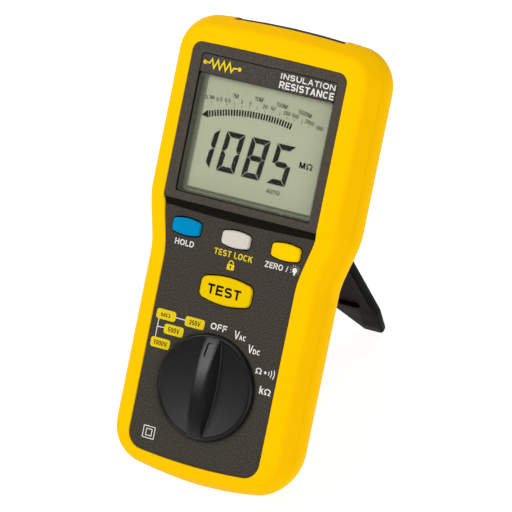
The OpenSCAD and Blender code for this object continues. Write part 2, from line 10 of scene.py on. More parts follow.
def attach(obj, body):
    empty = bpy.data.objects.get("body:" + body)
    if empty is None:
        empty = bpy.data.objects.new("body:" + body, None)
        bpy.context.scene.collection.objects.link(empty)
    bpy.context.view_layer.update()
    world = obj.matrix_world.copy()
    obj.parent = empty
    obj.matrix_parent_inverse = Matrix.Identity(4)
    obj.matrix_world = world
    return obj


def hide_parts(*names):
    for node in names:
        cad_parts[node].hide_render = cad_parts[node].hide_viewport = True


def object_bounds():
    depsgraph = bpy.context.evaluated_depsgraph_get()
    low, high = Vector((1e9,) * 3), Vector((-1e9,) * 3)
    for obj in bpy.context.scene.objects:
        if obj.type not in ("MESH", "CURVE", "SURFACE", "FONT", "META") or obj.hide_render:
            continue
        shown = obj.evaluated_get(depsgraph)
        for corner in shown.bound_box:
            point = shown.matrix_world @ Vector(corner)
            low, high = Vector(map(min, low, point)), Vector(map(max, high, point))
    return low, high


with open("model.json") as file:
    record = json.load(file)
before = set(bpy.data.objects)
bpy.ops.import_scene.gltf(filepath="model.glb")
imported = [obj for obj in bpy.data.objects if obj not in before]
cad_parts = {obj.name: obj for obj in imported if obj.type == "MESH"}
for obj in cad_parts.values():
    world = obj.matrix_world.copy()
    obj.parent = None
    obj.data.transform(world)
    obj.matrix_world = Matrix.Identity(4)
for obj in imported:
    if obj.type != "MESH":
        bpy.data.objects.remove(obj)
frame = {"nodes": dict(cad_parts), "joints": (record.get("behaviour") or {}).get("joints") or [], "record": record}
cad_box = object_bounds()

# ---------------------------------------- body frame
# Body millimetres: x to the right, y up the face, z out of the face (0 is the keypad face).
MM = 0.001
KNOB_Y = 45.3  # selector axis
JOINTS = {j["name"]: j for j in frame["joints"]}
MOUNTS = {m["name"]: m for m in frame["record"]["mounts"]}
OUT = Vector(JOINTS["selector_turn"]["axis"]).normalized()
UP = Vector(MOUNTS["socket_middle"]["axis"]).normalized()
RIGHT = UP.cross(OUT)
ORIGIN = Vector(JOINTS["selector_turn"]["pos_m"]) - UP * KNOB_Y * MM
BODY = Matrix((RIGHT, UP, OUT)).transposed().to_4x4()
BODY.translation = ORIGIN


def span(node):
    """Lowest and highest corner of a CAD node in body millimetres."""
    inverse = BODY.inverted()
    points = [inverse @ v.co / MM for v in frame["nodes"][node].data.vertices]
    return [Vector([pick(p[i] for p in points) for i in range(3)]) for pick in (min, max)]


STAND_AXIS = BODY.inverted() @ Vector(JOINTS["stand_fold"]["pos_m"]) / MM
HINGE_Y, HINGE_Z = STAND_AXIS.y, STAND_AXIS.z
STAND_OPEN = math.radians(abs(JOINTS["stand_fold"]["range_deg"][0]))
STAND = BODY @ Matrix.Translation((0, HINGE_Y * MM, HINGE_Z * MM)) @ Matrix.Rotation(STAND_OPEN, 4, "X")


# ---------------------------------------- node materials
BLACK, FULL_WHITE = (0, 0, 0, 1), (1, 1, 1, 1)
GRAIN_DEPTH = 0.0001


def colour(r, g, b):
    """Linear colour from sRGB 0-255 values."""
    linear = [(c / 255 / 12.92) if c <= 10 else ((c / 255 + 0.055) / 1.055) ** 2.4 for c in (r, g, b)]
    return tuple(linear) + (1,)


def grey(value):
    return (value,) * 3 + (1,)


def blank_material(name):
    m = bpy.data.materials.new(name)
    m.use_nodes = True
    shader = m.node_tree.nodes["Principled BSDF"]
    return m, m.node_tree.nodes, m.node_tree.links, shader


def noise(nodes, links, scale, detail=2.0, roughness=0.5):
    place = nodes.new("ShaderNodeTexCoord")
    texture = nodes.new("ShaderNodeTexNoise")
    texture.inputs["Scale"].default_value = scale
    texture.inputs["Detail"].default_value = detail
    texture.inputs["Roughness"].default_value = roughness
    links.new(place.outputs["Object"], texture.inputs["Vector"])
    return texture.outputs["Fac"]


def ramp(nodes, links, value, stops):
    node = nodes.new("ShaderNodeValToRGB")
    while len(node.color_ramp.elements) < len(stops):
        node.color_ramp.elements.new(0.5)
    for element, (place, shade) in zip(node.color_ramp.elements, stops):
        element.position = place
        element.color = shade
    links.new(value, node.inputs["Fac"])
    return node.outputs["Color"]


def plastic(name, base, rough=0.4, grain=2500, bump=0.05, vary=0.06, specular=0.5, speckle=None,
            speck_scale=1800, metallic=0.0):
    """Moulded plastic: slight colour variation, grain bump and optional fine speckle."""
    m, nodes, links, shader = blank_material(name)
    dark = tuple(c * (1 - vary) for c in base[:3]) + (1,)
    light = tuple(min(1, c * (1 + vary)) for c in base[:3]) + (1,)
    tone = ramp(nodes, links, noise(nodes, links, 60, 3), [(0.3, dark), (0.7, light)])
    if speckle:
        fleck = ramp(nodes, links, noise(nodes, links, speck_scale, 1.0), [(0.38, BLACK), (0.7, FULL_WHITE)])
        mix = nodes.new("ShaderNodeMix")
        mix.data_type = "RGBA"
        links.new(fleck, mix.inputs["Factor"])
        links.new(tone, mix.inputs["A"])
        mix.inputs["B"].default_value = speckle
        tone = mix.outputs["Result"]
    links.new(tone, shader.inputs["Base Color"])
    surface = ramp(nodes, links, noise(nodes, links, 140, 2),
                   [(0.3, grey(rough * 0.92)), (0.7, grey(min(1, rough * 1.08)))])
    links.new(surface, shader.inputs["Roughness"])
    height = nodes.new("ShaderNodeBump")
    height.inputs["Strength"].default_value = bump
    height.inputs["Distance"].default_value = GRAIN_DEPTH
    links.new(noise(nodes, links, grain, 2), height.inputs["Height"])
    links.new(height.outputs["Normal"], shader.inputs["Normal"])
    shader.inputs["Specular IOR Level"].default_value = specular
    shader.inputs["Metallic"].default_value = metallic
    return m


def clear_window():
    """Nearly invisible clear plastic."""
    m, nodes, links, shader = blank_material("window_clear")
    rough = ramp(nodes, links, noise(nodes, links, 90, 2), [(0.3, grey(0.02)), (0.7, grey(0.05))])
    links.new(rough, shader.inputs["Roughness"])
    shader.inputs["Base Color"].default_value = (0.1, 0.11, 0.1, 1)
    shader.inputs["Alpha"].default_value = 0.04
    shader.inputs["IOR"].default_value = 1.3
    return m


YELLOW = plastic("yellow_plastic", colour(254, 195, 0), 0.5, 1500, 0.06, 0.012, 0.01)
PANEL = plastic("panel_plastic", colour(52, 49, 43), 0.65, 2200, 0.3, 0.04, 0.03, colour(76, 72, 64), 1700)
BEZEL = plastic("bezel_plastic", colour(64, 58, 50), 0.55, 2600, 0.12, 0.03, 0.06, colour(80, 74, 65), 1500)
BAND = plastic("band_plastic", colour(60, 56, 51), 0.6, 2400, 0.25, 0.04, 0.04, colour(82, 77, 71), 1700)
# painted shade: near-black colour for the wall of the step under the display, standing in for the shadow that
# falls there
STEP_SHADE = plastic("step_painted_shade", colour(21, 18, 14), 0.6, 2400, 0.1, 0.04, 0.03)
# painted shade: near-black lining for the narrow gaps round the keys and the display window, standing in for the
# shade inside them
GAP_SHADE = plastic("gap_painted_shade", colour(8, 8, 7), 0.7, 800, 0.1, 0.05, 0.05)
DISH = plastic("knob_plastic", colour(13, 12, 11), 0.4, 2600, 0.12, 0.05, 0.24)
GRIP = plastic("grip_plastic", colour(14, 13, 12), 0.34, 2600, 0.15, 0.05, 0.31)
STANDM = plastic("stand_plastic", colour(13, 12, 11), 0.5, 2600, 0.15, 0.05, 0.025)
BLUE = plastic("blue_key", colour(0, 132, 183), 0.5, 2200, 0.06, 0.02, 0.01)
WHITEK = plastic("white_key", colour(205, 198, 187), 0.5, 2200, 0.06, 0.02, 0.03)
YKEY = plastic("yellow_key", colour(243, 199, 0), 0.5, 2200, 0.06, 0.02, 0.01)
TESTKEY = plastic("test_key_yellow", colour(230, 192, 0), 0.5, 2200, 0.06, 0.02, 0.01)
PRINT_WHITE = plastic("print_white", colour(226, 224, 218), 0.6, 3000, 0.05, 0.02, 0.05)
PRINT_YELLOW = plastic("print_yellow", colour(228, 200, 30), 0.6, 3000, 0.05, 0.02, 0.05)
PRINT_DARK = plastic("print_dark", colour(22, 20, 16), 0.6, 3000, 0.05, 0.05, 0.05)
PILL = plastic("pill_yellow", colour(222, 194, 20), 0.55, 3000, 0.05, 0.03, 0.05)
FILM = plastic("lcd_film", colour(176, 180, 151), 0.55, 3000, 0.03, 0.012, 0.05)
FILM_EDGE = plastic("lcd_edge", colour(131, 134, 112), 0.5, 3000, 0.03, 0.02, 0.05)
FILM_DARK = plastic("lcd_seal", colour(104, 106, 86), 0.5, 3000, 0.03, 0.03, 0.05)
SEGMENT = plastic("lcd_segment", colour(24, 20, 22), 0.55, 3000, 0.03, 0.05, 0.05)
FRAME_INNER = plastic("window_wall", colour(84, 87, 70), 0.5, 2000, 0.05, 0.05, 0.05)
CLEAR = clear_window()


# ---------------------------------------- mesh helpers
def mesh_piece(name, points, faces, material, place=BODY, body="case", sharp=35, slot=None, replaces=()):
    """A mesh from body millimetre points, placed by a row-frame matrix and riding on a CAD body."""
    mesh = bpy.data.meshes.new(name)
    mesh.from_pydata([[c * MM for c in p] for p in points], [], faces)
    mesh.validate()
    o = bpy.data.objects.new(name, mesh)
    bpy.context.scene.collection.objects.link(o)
    finish_mesh(mesh, sharp)
    mesh.materials.append(material)
    o.matrix_world = place
    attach(o, body)
    if replaces:
        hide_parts(*replaces)
    return o


def finish_mesh(mesh, sharp):
    """Merges doubled points, turns faces outwards and marks edges sharper than the angle."""
    work = bmesh.new()
    work.from_mesh(mesh)
    bmesh.ops.remove_doubles(work, verts=work.verts, dist=1e-6)
    bmesh.ops.recalc_face_normals(work, faces=work.faces)
    work.to_mesh(mesh)
    work.free()
    mesh.shade_smooth()
    mesh.set_sharp_from_angle(angle=math.radians(sharp))


def loft(rings, closed=False, caps=True):
    """Points and faces through rings of equal length."""
    count, total = len(rings[0]), len(rings)
    points = [p for ring in rings for p in ring]
    faces = []
    for k in range(total if closed else total - 1):
        a, b = k * count, ((k + 1) % total) * count
        for i in range(count):
            j = (i + 1) % count
            faces.append((a + i, a + j, b + j, b + i))
    if caps and not closed:
        faces.append(tuple(range(count - 1, -1, -1)))
        faces.append(tuple(range((total - 1) * count, total * count)))
    return points, faces


def subtract(o, cutters, union=False):
    """Applies exact booleans to a mesh piece; each cutter is points, faces in body millimetres."""
    for points, faces in cutters:
        mesh = bpy.data.meshes.new("cutter")
        mesh.from_pydata([[c * MM for c in p] for p in points], [], faces)
        finish_mesh(mesh, 30)
        tool = bpy.data.objects.new("cutter", mesh)
        bpy.context.scene.collection.objects.link(tool)
        tool.matrix_world = o.matrix_world.copy()
        cut = o.modifiers.new("cut", "BOOLEAN")
        cut.operation = "UNION" if union else "DIFFERENCE"
        cut.solver = "EXACT"
        cut.object = tool
        bpy.context.view_layer.update()
        evaluated = o.evaluated_get(bpy.context.evaluated_depsgraph_get())
        result = bpy.data.meshes.new_from_object(evaluated)
        o.modifiers.remove(cut)
        old = o.data
        o.data = result
        bpy.data.meshes.remove(old)
        bpy.data.objects.remove(tool)
        bpy.data.meshes.remove(mesh)
    finish_mesh(o.data, 35)
    return o


def prism(outline, z0, z1):
    """Points and faces of an outline raised from z0 to z1."""
    return loft([[(x, y, z0) for x, y in outline], [(x, y, z1) for x, y in outline]])


def block(x0, x1, y0, y1, z0, z1):
    return prism([(x0, y0), (x1, y0), (x1, y1), (x0, y1)], z0, z1)


def circle(r, facets=48):
    turn = [2 * math.pi * i / facets for i in range(facets)]
    return [(r * math.cos(a), r * math.sin(a)) for a in turn]


def tube_x(x0, x1, y, z, r):
    return loft([[(x, y + dy, z + dz) for dy, dz in circle(r)] for x in (x0, x1)])


def tube_z(x, y, z0, z1, r):
    return prism([(x + dx, y + dy) for dx, dy in circle(r)], z0, z1)


def arc(cx, cy, r, a0, a1, steps):
    """Points on an arc from angle a0 to a1 in degrees."""
    turn = [math.radians(a0 + (a1 - a0) * i / steps) for i in range(steps + 1)]
    return [(cx + r * math.cos(a), cy + r * math.sin(a)) for a in turn]


def rounded(x0, x1, y0, y1, r, steps=8):
    """Rectangle with round corners."""
    return (arc(x1 - r, y0 + r, r, -90, 0, steps) + arc(x1 - r, y1 - r, r, 0, 90, steps)
            + arc(x0 + r, y1 - r, r, 90, 180, steps) + arc(x0 + r, y0 + r, r, 180, 270, steps))


def smooth(t):
    """Eased step from 0 to 1."""
    u = max(0.0, min(1.0, t))
    return u * u * (3 - 2 * u)


# ---------------------------------------- case outline
# half widths and ends of the dark face, then where the waist is
GRIP_W, HEAD_W = 33.9, 39.2
FACE_Y0, FACE_Y1 = 8.9, 197.0
WAIST_Y0, WAIST_Y1 = 97.0, 128.0
SEAM_Z = -8.4
BACK_Z = span("rear_shell")[0].z
BEZEL_H = span("display_bezel")[1].z
LIFT_Y, LIFT_RUN = 120.5, 6.5
GRIP_SHARE = 0.965
CORNER_STEPS, END_STEPS, WAIST_STEPS = 14, 8, 31


def waist(y):
    return smooth((y - WAIST_Y0) / (WAIST_Y1 - WAIST_Y0))


def half_width(y):
    return GRIP_W + (HEAD_W - GRIP_W) * waist(y)


def crowned_end(w, y, crown, r, out):
    """Right half of an end of the case: a crown from the middle that runs smoothly into its corner."""
    turn = 0.0
    for _ in range(8):
        reach = w - r + r * math.sin(turn)
        turn = math.atan2(2 * crown, reach)
    points = [(t / END_STEPS * reach, y - out * crown * (t / END_STEPS) ** 2) for t in range(END_STEPS)]
    centre = y - out * (crown + r * math.cos(turn))
    for i in range(CORNER_STEPS + 1):
        a = turn + (math.pi / 2 - turn) * i / CORNER_STEPS
        points.append((w - r + r * math.sin(a), centre + out * r * math.cos(a)))
    return points


def flank(y, side):
    """Half width of the case at y, standing outside the dark face by side, a little less at the grip."""
    return half_width(y) + side * (GRIP_SHARE + (1 - GRIP_SHARE) * waist(y))


def outline(side, top, bottom, r_top, r_bottom):
    """Case outline standing outside the dark face by side, top and bottom, as (x, y) points."""
    crown0, crown1 = 1.3 + max(0, bottom) * 0.16, 0.4 + top * 0.09
    right = crowned_end(flank(WAIST_Y0, side), FACE_Y0 - bottom, crown0, r_bottom, -1)
    bend = [WAIST_Y0 + (WAIST_Y1 - WAIST_Y0) * i / WAIST_STEPS for i in range(WAIST_STEPS + 1)]
    ys = [40, 60, 80] + bend + [140, 155, 170]
    right += [(flank(y, side), y) for y in ys]
    right += crowned_end(flank(WAIST_Y1, side), FACE_Y1 + top, crown1, r_top, 1)[::-1]
    return right + [(-x, y) for x, y in right[-2:0:-1]]


def lift(y):
    """Share of the step from the keypad up to the display that is reached at y."""
    return smooth((y - LIFT_Y) / LIFT_RUN)


# ---------------------------------------- front cover
LIP_D, SEAM_D = 0.75, 12.2
LIP_GRIP, LIP_HEAD = 0.7, BEZEL_H + 0.25
BAND_SLOPE, SIDE_SLOPE = 23, 63
CREASE_D, CREASE_RUN = 5.4, 3.6
SKIN = 2.6


def front_profile():
    """Distance outside the lip and share of the drop from the lip to the seam: a shallow front band,
    a soft crease and a steeper side band."""
    steps, run = 60, SEAM_D - LIP_D
    crease = [smooth((i / steps * run - CREASE_D) / CREASE_RUN) for i in range(steps)]
    slopes = [math.tan(math.radians(BAND_SLOPE + (SIDE_SLOPE - BAND_SLOPE) * c)) for c in crease]
    drops = [0.0]
    for s in slopes:
        drops.append(drops[-1] + s * run / steps)
    picks = list(range(0, 26, 5)) + list(range(28, steps + 1, 2))
    return [(run * i / steps, drops[i] / drops[-1]) for i in picks]


def lip_height(y):
    return LIP_GRIP + (LIP_HEAD - LIP_GRIP) * lift(y)


def front_ring(d, share, inset=0.0):
    """The front cover at a distance outside the lip and a share of the drop to the seam."""
    part = d / (SEAM_D - LIP_D)
    shape = outline(LIP_D + d - inset, LIP_D + d * 1.03 - inset, 0.5 + d * 0.715 - inset,
                    5 + 11 * part, 8.5 + 9 * part)
    return [(x, y, lip_height(y) + (SEAM_Z - lip_height(y)) * share) for x, y in shape]


def lowered(ring, drop):
    return [(x, y, z - drop) for x, y, z in ring]


def front_cover():
    """Rings from the inside of the lip, over its crest, down to the seam and back along the inside."""
    lip_inner = [(x, y, lip_height(y)) for x, y in outline(0.12, 0.12, 0.12, 4.6, 8)]
    rings = [lowered(lip_inner, 3.0), lowered(lip_inner, 0.25)]
    rings += [[(x, y, lip_height(y) - 0.02) for x, y in outline(0.32, 0.32, 0.26, 4.7, 8.1)]]
    rings += [front_ring(d, share) for d, share in front_profile()]
    rings += [[(x, y, SEAM_Z) for x, y, z in front_ring(SEAM_D - LIP_D, 1, SKIN)],
              lowered(front_ring(8.0, 0.55, SKIN), 1.4)]
    return loft(rings, closed=True)


mesh_piece("front_cover", *front_cover(), YELLOW, sharp=50, slot="yellow_shell", replaces=["front_shell"])


# ---------------------------------------- rear cover
# depth, then how far the sides, top and bottom stand outside the dark face, and the corner radii
REAR = [
    (SEAM_Z - 0.02, 11.7, 12.1, 8.2, 15.5, 17.5),
    (SEAM_Z - 0.45, 12.15, 12.5, 8.65, 16, 18),
    (-11.0, 13.25, 13.4, 9.4, 17, 20),
    (-13.9, 13.75, 13.9, 9.7, 17.5, 22),
    (-16.4, 13.6, 13.9, 9.7, 17.5, 23),
    (-19.0, 12.9, 13.3, 9.5, 17.5, 23),
    (-28.0, 8.7, 11.0, 8.4, 16, 20.5),
    (-38.0, 4.0, 8.5, 7.3, 14.5, 18),
    (-45.0, 0.6, 6.7, 6.5, 13, 16),
    (-48.5, -1.2, 5.5, 5.6, 12, 14.5),
    (-51.3, -3.2, 3.6, 3.8, 10.5, 12.5),
    (-52.9, -5.2, 1.6, 2.0, 9.5, 11.5),
    (BACK_Z, -6.9, -0.2, 0.4, 8, 10),
]


def rear_rows(sub=3):
    """Catmull-Rom rows through REAR after the parting groove."""
    rows = [REAR[0], REAR[1]]
    body = REAR[1:]
    for k in range(len(body) - 1):
        a, b, c, d = body[max(k - 1, 0)], body[k], body[k + 1], body[min(k + 2, len(body) - 1)]
        for i in range(1, sub + 1):
            t = i / sub
            rows.append(tuple(0.5 * (2 * q + (r - p) * t + (2 * p - 5 * q + 4 * r - s) * t * t
                                     + (3 * q - p - 3 * r + s) * t ** 3) for p, q, r, s in zip(a, b, c, d)))
    return rows


def flat_ring(row, inset=0.0):
    z, *sizes = row
    return [(x, y, z) for x, y in outline(*[size - inset for size in sizes])]


WIDE = 60  # past either side of the case
RECESS_Z = span("battery_cover")[0].z
RECESS_Y0, RECESS_Y1 = 38.0, HINGE_Y + 3.6
CAVITY_FLOOR = RECESS_Z + SKIN
COVER_FIT, PANEL_FIT = 0.25, 0.15
KNUCKLE_X, KNUCKLE_R, KNUCKLE_GAP, PIN_R = 14, 3.0, 0.3, 1.52
SCREWS, SCREW_R = [(-30, 189), (30, 189), (-23, 16), (23, 16)], 3.1


def rear_cuts():
    """The cavity, the battery recess, clearance for the stand, screw holes and the terminal opening."""
    rows = [(SEAM_Z + 2,) + REAR[1][1:]] + [REAR[i] for i in (1, 3, 5, 6, 7)]
    rows.append((CAVITY_FLOOR,) + REAR[8][1:])
    lo, hi = span("battery_cover")
    lid = rounded(lo.x - COVER_FIT, hi.x + COVER_FIT, lo.y - COVER_FIT, hi.y + COVER_FIT, 1.2)
    cuts = [loft([flat_ring(r, SKIN) for r in rows]),
            block(-WIDE, WIDE, RECESS_Y0, RECESS_Y1, BACK_Z - 5, RECESS_Z),
            prism(lid, RECESS_Z - 1, RECESS_Z + 2.1)]
    for side in (-1, 1):
        x0, x1 = sorted((side * (KNUCKLE_X - KNUCKLE_GAP), side * WIDE))
        cuts.append(tube_x(x0, x1, HINGE_Y, HINGE_Z, KNUCKLE_R + 0.6))
    cuts += [tube_z(x, y, BACK_Z - 1, -31, SCREW_R) for x, y in SCREWS]
    lo, hi = span("terminal_panel")
    opening = rounded(lo.x - PANEL_FIT, hi.x + PANEL_FIT, FACE_Y1, FACE_Y1 + 20, 0.5)
    cuts.append(prism(opening, lo.z - PANEL_FIT, hi.z + PANEL_FIT))
    return cuts


rear = mesh_piece("rear_cover", *loft([flat_ring(r) for r in rear_rows()]), YELLOW, sharp=50,
                  slot="yellow_shell", replaces=["rear_shell"])
subtract(rear, rear_cuts())
knuckle = KNUCKLE_X - KNUCKLE_GAP
subtract(rear, [tube_x(-knuckle, knuckle, HINGE_Y, HINGE_Z, KNUCKLE_R),
                block(-knuckle, knuckle, HINGE_Y - 2.4, HINGE_Y + 2.4, HINGE_Z, RECESS_Z + 1)], union=True)
subtract(rear, [tube_x(-KNUCKLE_X, KNUCKLE_X, HINGE_Y, HINGE_Z, PIN_R)])


# ---------------------------------------- keys
# width, height, crown of the long edges and corner radius of a cap
SMALL, LARGE = (14.3, 7.7, 0.65, 1.7), (26.0, 12.7, 1.25, 3.0)
KEYS = {"hold": (SMALL, BLUE, "blue_key"), "lock": (SMALL, WHITEK, "white_key"),
        "zero": (SMALL, YKEY, "yellow_key"), "test": (LARGE, TESTKEY, "yellow_key")}
KEY_TOP, KEY_RISE, KEY_FILLET = 1.6, 0.12, 0.95
SKIRT_OUT, SKIRT_TOP, SKIRT_FOOT = 1.4, -2.85, -4.0
KEY_HOLE = 0.6


def barrel(cx, cy, w, h, crown, r, grow=0.0):
    """Rounded rectangle whose long edges bulge by crown; h is its height at the ends plus twice the crown."""
    half_h = h / 2 - crown
    r = max(0.2, r + grow)
    w, half_h = w + 2 * grow, half_h + grow
    lower = [(t / 8 * (w / 2 - r), -half_h - crown * (1 - (t / 8) ** 2)) for t in range(8)]
    lower += arc(w / 2 - r, -half_h + r, r, -90, 0, 7)
    right = lower + [(x, -y) for x, y in reversed(lower)]
    if abs(right[len(lower)][1] - right[len(lower) - 1][1]) < 1e-6:
        right.pop(len(lower))
    full = right + [(-x, y) for x, y in right[-2:0:-1]]
    return [(cx + x, cy + y) for x, y in full]


def key_centre(node):
    lo, hi = span(node)
    return (lo.x + hi.x) / 2, (lo.y + hi.y) / 2


def make_key(name):
    """A domed cap with a rounded edge, standing on a skirt under the panel whose near-black colour is painted
    shade for the gap round the cap.
    """
    size, material, slot = KEYS[name]
    cx, cy = key_centre(name + "_button")
    edge = KEY_TOP - KEY_RISE
    levels = [(SKIRT_FOOT, SKIRT_OUT), (SKIRT_TOP, SKIRT_OUT), (SKIRT_TOP, 0.0), (-0.3, 0.0)]
    for i in range(8):
        a = math.radians(90 * i / 7)
        levels.append((edge - KEY_FILLET * (1 - math.sin(a)), -KEY_FILLET * (1 - math.cos(a))))
    rings = [[(x, y, z) for x, y in barrel(cx, cy, *size, grow)] for z, grow in levels]
    for share, rise in ((0.75, 0.05), (0.5, 0.09), (0.25, 0.11)):
        ring = barrel(cx, cy, *size, -KEY_FILLET)
        rings.append([(cx + (x - cx) * share, cy + (y - cy) * share, edge + rise) for x, y in ring])
    cap = mesh_piece(name + "_key_cap", *loft(rings), material, body=name + "_key", sharp=60, slot=slot,
                     replaces=[name + "_button"])
    # painted shade: the skirt faces below the panel take the near-black gap colour so the gap round the cap shows
    # as shade
    cap.data.materials.append(GAP_SHADE)
    for face in cap.data.polygons:
        if face.center.z / MM < -0.9:
            face.material_index = 1


for key in KEYS:
    make_key(key)


# ---------------------------------------- keypad panel and display bezel
PANEL_EDGE, PANEL_FOOT = 0.05, -2.5
COVE_Y0, COVE_RUN, WALL_TOP = 121.6, 4.4, 125.1
COVE_STEPS = 18


def face_outline(y0, y1, inset):
    """The dark face between two heights, as (x, y) points, right side then left side."""
    full = outline(-inset, -inset, -inset, 4.5, 8)
    right = [p for p in full[:len(full) // 2 + 1] if y0 + 0.01 < p[1] < y1 - 0.01]
    edge = lambda y: (half_width(y) - inset, y)
    if y0 > FACE_Y0 + 5:
        right.insert(0, edge(y0))
    if y1 < FACE_Y1 - 5:
        right.append(edge(y1))
    return right + [(-x, y) for x, y in reversed(right) if x > 1e-6]


panel = mesh_piece("keypad_face", *prism(face_outline(0, COVE_Y0, PANEL_EDGE), PANEL_FOOT, 0), PANEL,
                   slot="dark_panel", replaces=["keypad_panel"])
holes = [tube_z(0, KNOB_Y, -5, 1, 3.4)]
for key, (size, _, _) in KEYS.items():
    holes.append(prism(barrel(*key_centre(key + "_button"), *size, KEY_HOLE), -5, 2))
subtract(panel, holes)


def cove(y):
    """Height of the face above the keypad: a concave foot, a steep wall and a rounded brow."""
    u = max(0.0, min(1.0, (y - COVE_Y0) / COVE_RUN))
    if u < 0.5:
        return BEZEL_H * 0.3 * (u / 0.5) ** 2.4
    if u < 0.78:
        return BEZEL_H * (0.3 + 0.5 * (u - 0.5) / 0.28)
    return BEZEL_H * (1 - 0.2 * ((1 - u) / 0.22) ** 2.0)


def bezel_mesh():
    """Closed solid: lower edge strips follow the cove, the rest of the top is flat."""
    stations = [COVE_Y0 + COVE_RUN * i / COVE_STEPS for i in range(COVE_STEPS + 1)]
    right = [(half_width(y) - PANEL_EDGE, y) for y in stations]
    upper = [p for p in face_outline(stations[-1], 300, PANEL_EDGE) if p[0] >= -1e-6][1:]
    right += upper
    top = [(x, y, cove(y)) for x, y in right] + [(-x, y, cove(y)) for x, y in reversed(right) if x > 1e-6]
    count = len(top)
    points = top + [(x, y, -2.4) for x, y, z in top]
    faces = [(i, (i + 1) % count, (i + 1) % count + count, i + count) for i in range(count)]
    last = len(stations) - 1
    for i in range(last):
        faces.append((i, i + 1, count - 2 - i, count - 1 - i))
    faces.append(tuple(range(last, count - last)))
    faces.append(tuple(range(2 * count - 1, count - 1, -1)))
    return points, faces


window_lo, window_hi = span("display_window")
WX0, WX1, WY0 = -window_hi.x + 0.3, window_hi.x + 0.7, window_lo.y - 0.1
BAND_Y, WINDOW_TOP = 183.4, 192.2
bezel = mesh_piece("display_bezel_face", *bezel_mesh(), BEZEL, slot="dark_panel", replaces=["display_bezel"])
subtract(bezel, [prism(rounded(WX0, WX1, WY0, WINDOW_TOP, 1.3), -5, 6)])
# painted shade: bezel faces from just below the step's foot up to the top of its wall take the near-black step
# colour, standing in for the shadow under the display
bezel.data.materials.append(STEP_SHADE)
for face in bezel.data.polygons:
    if COVE_Y0 - 1 < face.center.y / MM < WALL_TOP:
        face.material_index = 1
# painted shadow: a dark crescent where the wall of the step meets the keypad
FOOT_W, FOOT_SAG = 36.5, 0.95
foot = [(x, COVE_Y0 + 0.02) for x in (FOOT_W, -FOOT_W)]
foot += [(x, COVE_Y0 + 0.1 - FOOT_SAG * (1 - (x / FOOT_W) ** 2)) for x in range(-36, 37, 4)]
mesh_piece("step_foot_painted_shadow", *prism(foot, 0.005, 0.03), STEP_SHADE, slot="dark_panel")
WINDOW_EDGE = 0.4
title = rounded(WX0 + WINDOW_EDGE, WX1 - WINDOW_EDGE, BAND_Y, WINDOW_TOP - WINDOW_EDGE, 0.9)
mesh_piece("title_band", *prism(title, -2.0, BEZEL_H - 0.3), BAND, slot="dark_panel")


# ---------------------------------------- display
def strip(name, x0, x1, y0, y1, z, material):
    """A thin layer of the display with its top at z."""
    mesh_piece(name, *prism(rounded(x0, x1, y0, y1, 0.4), z - 0.12, z), material, slot="lcd")


glass_lo, glass_hi = span("lcd_glass")
FILM_Z, FILM_TOP = glass_hi.z, BAND_Y - 0.05
mesh_piece("lcd_cell", *block(glass_lo.x, glass_hi.x, glass_lo.y, glass_hi.y, glass_lo.z, FILM_Z), FILM_DARK,
           slot="lcd", replaces=["lcd_glass"])
strip("lcd_ledge", -34.3, 33.3, 129.6, FILM_TOP, FILM_Z + 0.1, FILM_EDGE)
strip("lcd_film", -30.7, 32.1, 131.6, FILM_TOP, FILM_Z + 0.2, FILM)
strip("lcd_shade_low", -31.2, 32.4, 130.3, 131.6, FILM_Z + 0.18, FILM_DARK)


def frame_ring(name, grow_out, grow_in, top, z0, z1, material):
    """A thin upright band round the window opening."""
    outer = rounded(WX0 - grow_out, WX1 + grow_out, WY0 - grow_out, top + grow_out, 1.3)
    inner = rounded(WX0 + grow_in, WX1 - grow_in, WY0 + grow_in, top - grow_in, 1.1)
    rings = [[(x, y, z0) for x, y in outer], [(x, y, z1) for x, y in outer],
             [(x, y, z1) for x, y in inner], [(x, y, z0) for x, y in inner]]
    mesh_piece(name, *loft(rings, closed=True), material, slot="dark_panel")


# painted shade: a near-black band lines the window opening, standing in for the shadowed recess wall round the
# window
frame_ring("window_gap", -0.02, 0.38, WINDOW_TOP, -2.3, BEZEL_H - 0.5, GAP_SHADE)
frame_ring("window_wall", -WINDOW_EDGE, 0.6, BAND_Y, -2.35, BEZEL_H - 1.1, FRAME_INNER)
lens = rounded(WX0 + WINDOW_EDGE, WX1 - WINDOW_EDGE, WY0 + WINDOW_EDGE, FILM_TOP, 1.0)
mesh_piece("display_lens", *prism(lens, BEZEL_H - 1.0, BEZEL_H - 0.6), CLEAR, slot="window",
           replaces=["display_window"])


# ---------------------------------------- printing: text and symbols
# width of each letter and digit as a share of its height
WIDTHS = {"A": 0.72, "C": 0.74, "D": 0.72, "E": 0.62, "F": 0.58, "H": 0.7, "I": 0.2, "K": 0.7, "L": 0.56,
          "M": 0.86, "N": 0.72, "O": 0.78, "R": 0.7, "S": 0.68, "T": 0.62, "U": 0.7, "V": 0.7, "Z": 0.64,
          "k": 0.56, "/": 0.36, " ": 0.28, ".": 0.2, "0": 0.56, "1": 0.5, "2": 0.56, "5": 0.56}
LETTER_GAP = 0.13


def bow(cx, cy, rx, ry, a0, a1, steps=14, power=2.3):
    """Part of a superellipse, from angle a0 to a1 in degrees."""
    points = []
    for i in range(steps + 1):
        a = math.radians(a0 + (a1 - a0) * i / steps)
        c, s = math.cos(a), math.sin(a)
        points.append((cx + rx * math.copysign(abs(c) ** (2 / power), c),
                       cy + ry * math.copysign(abs(s) ** (2 / power), s)))
    return points


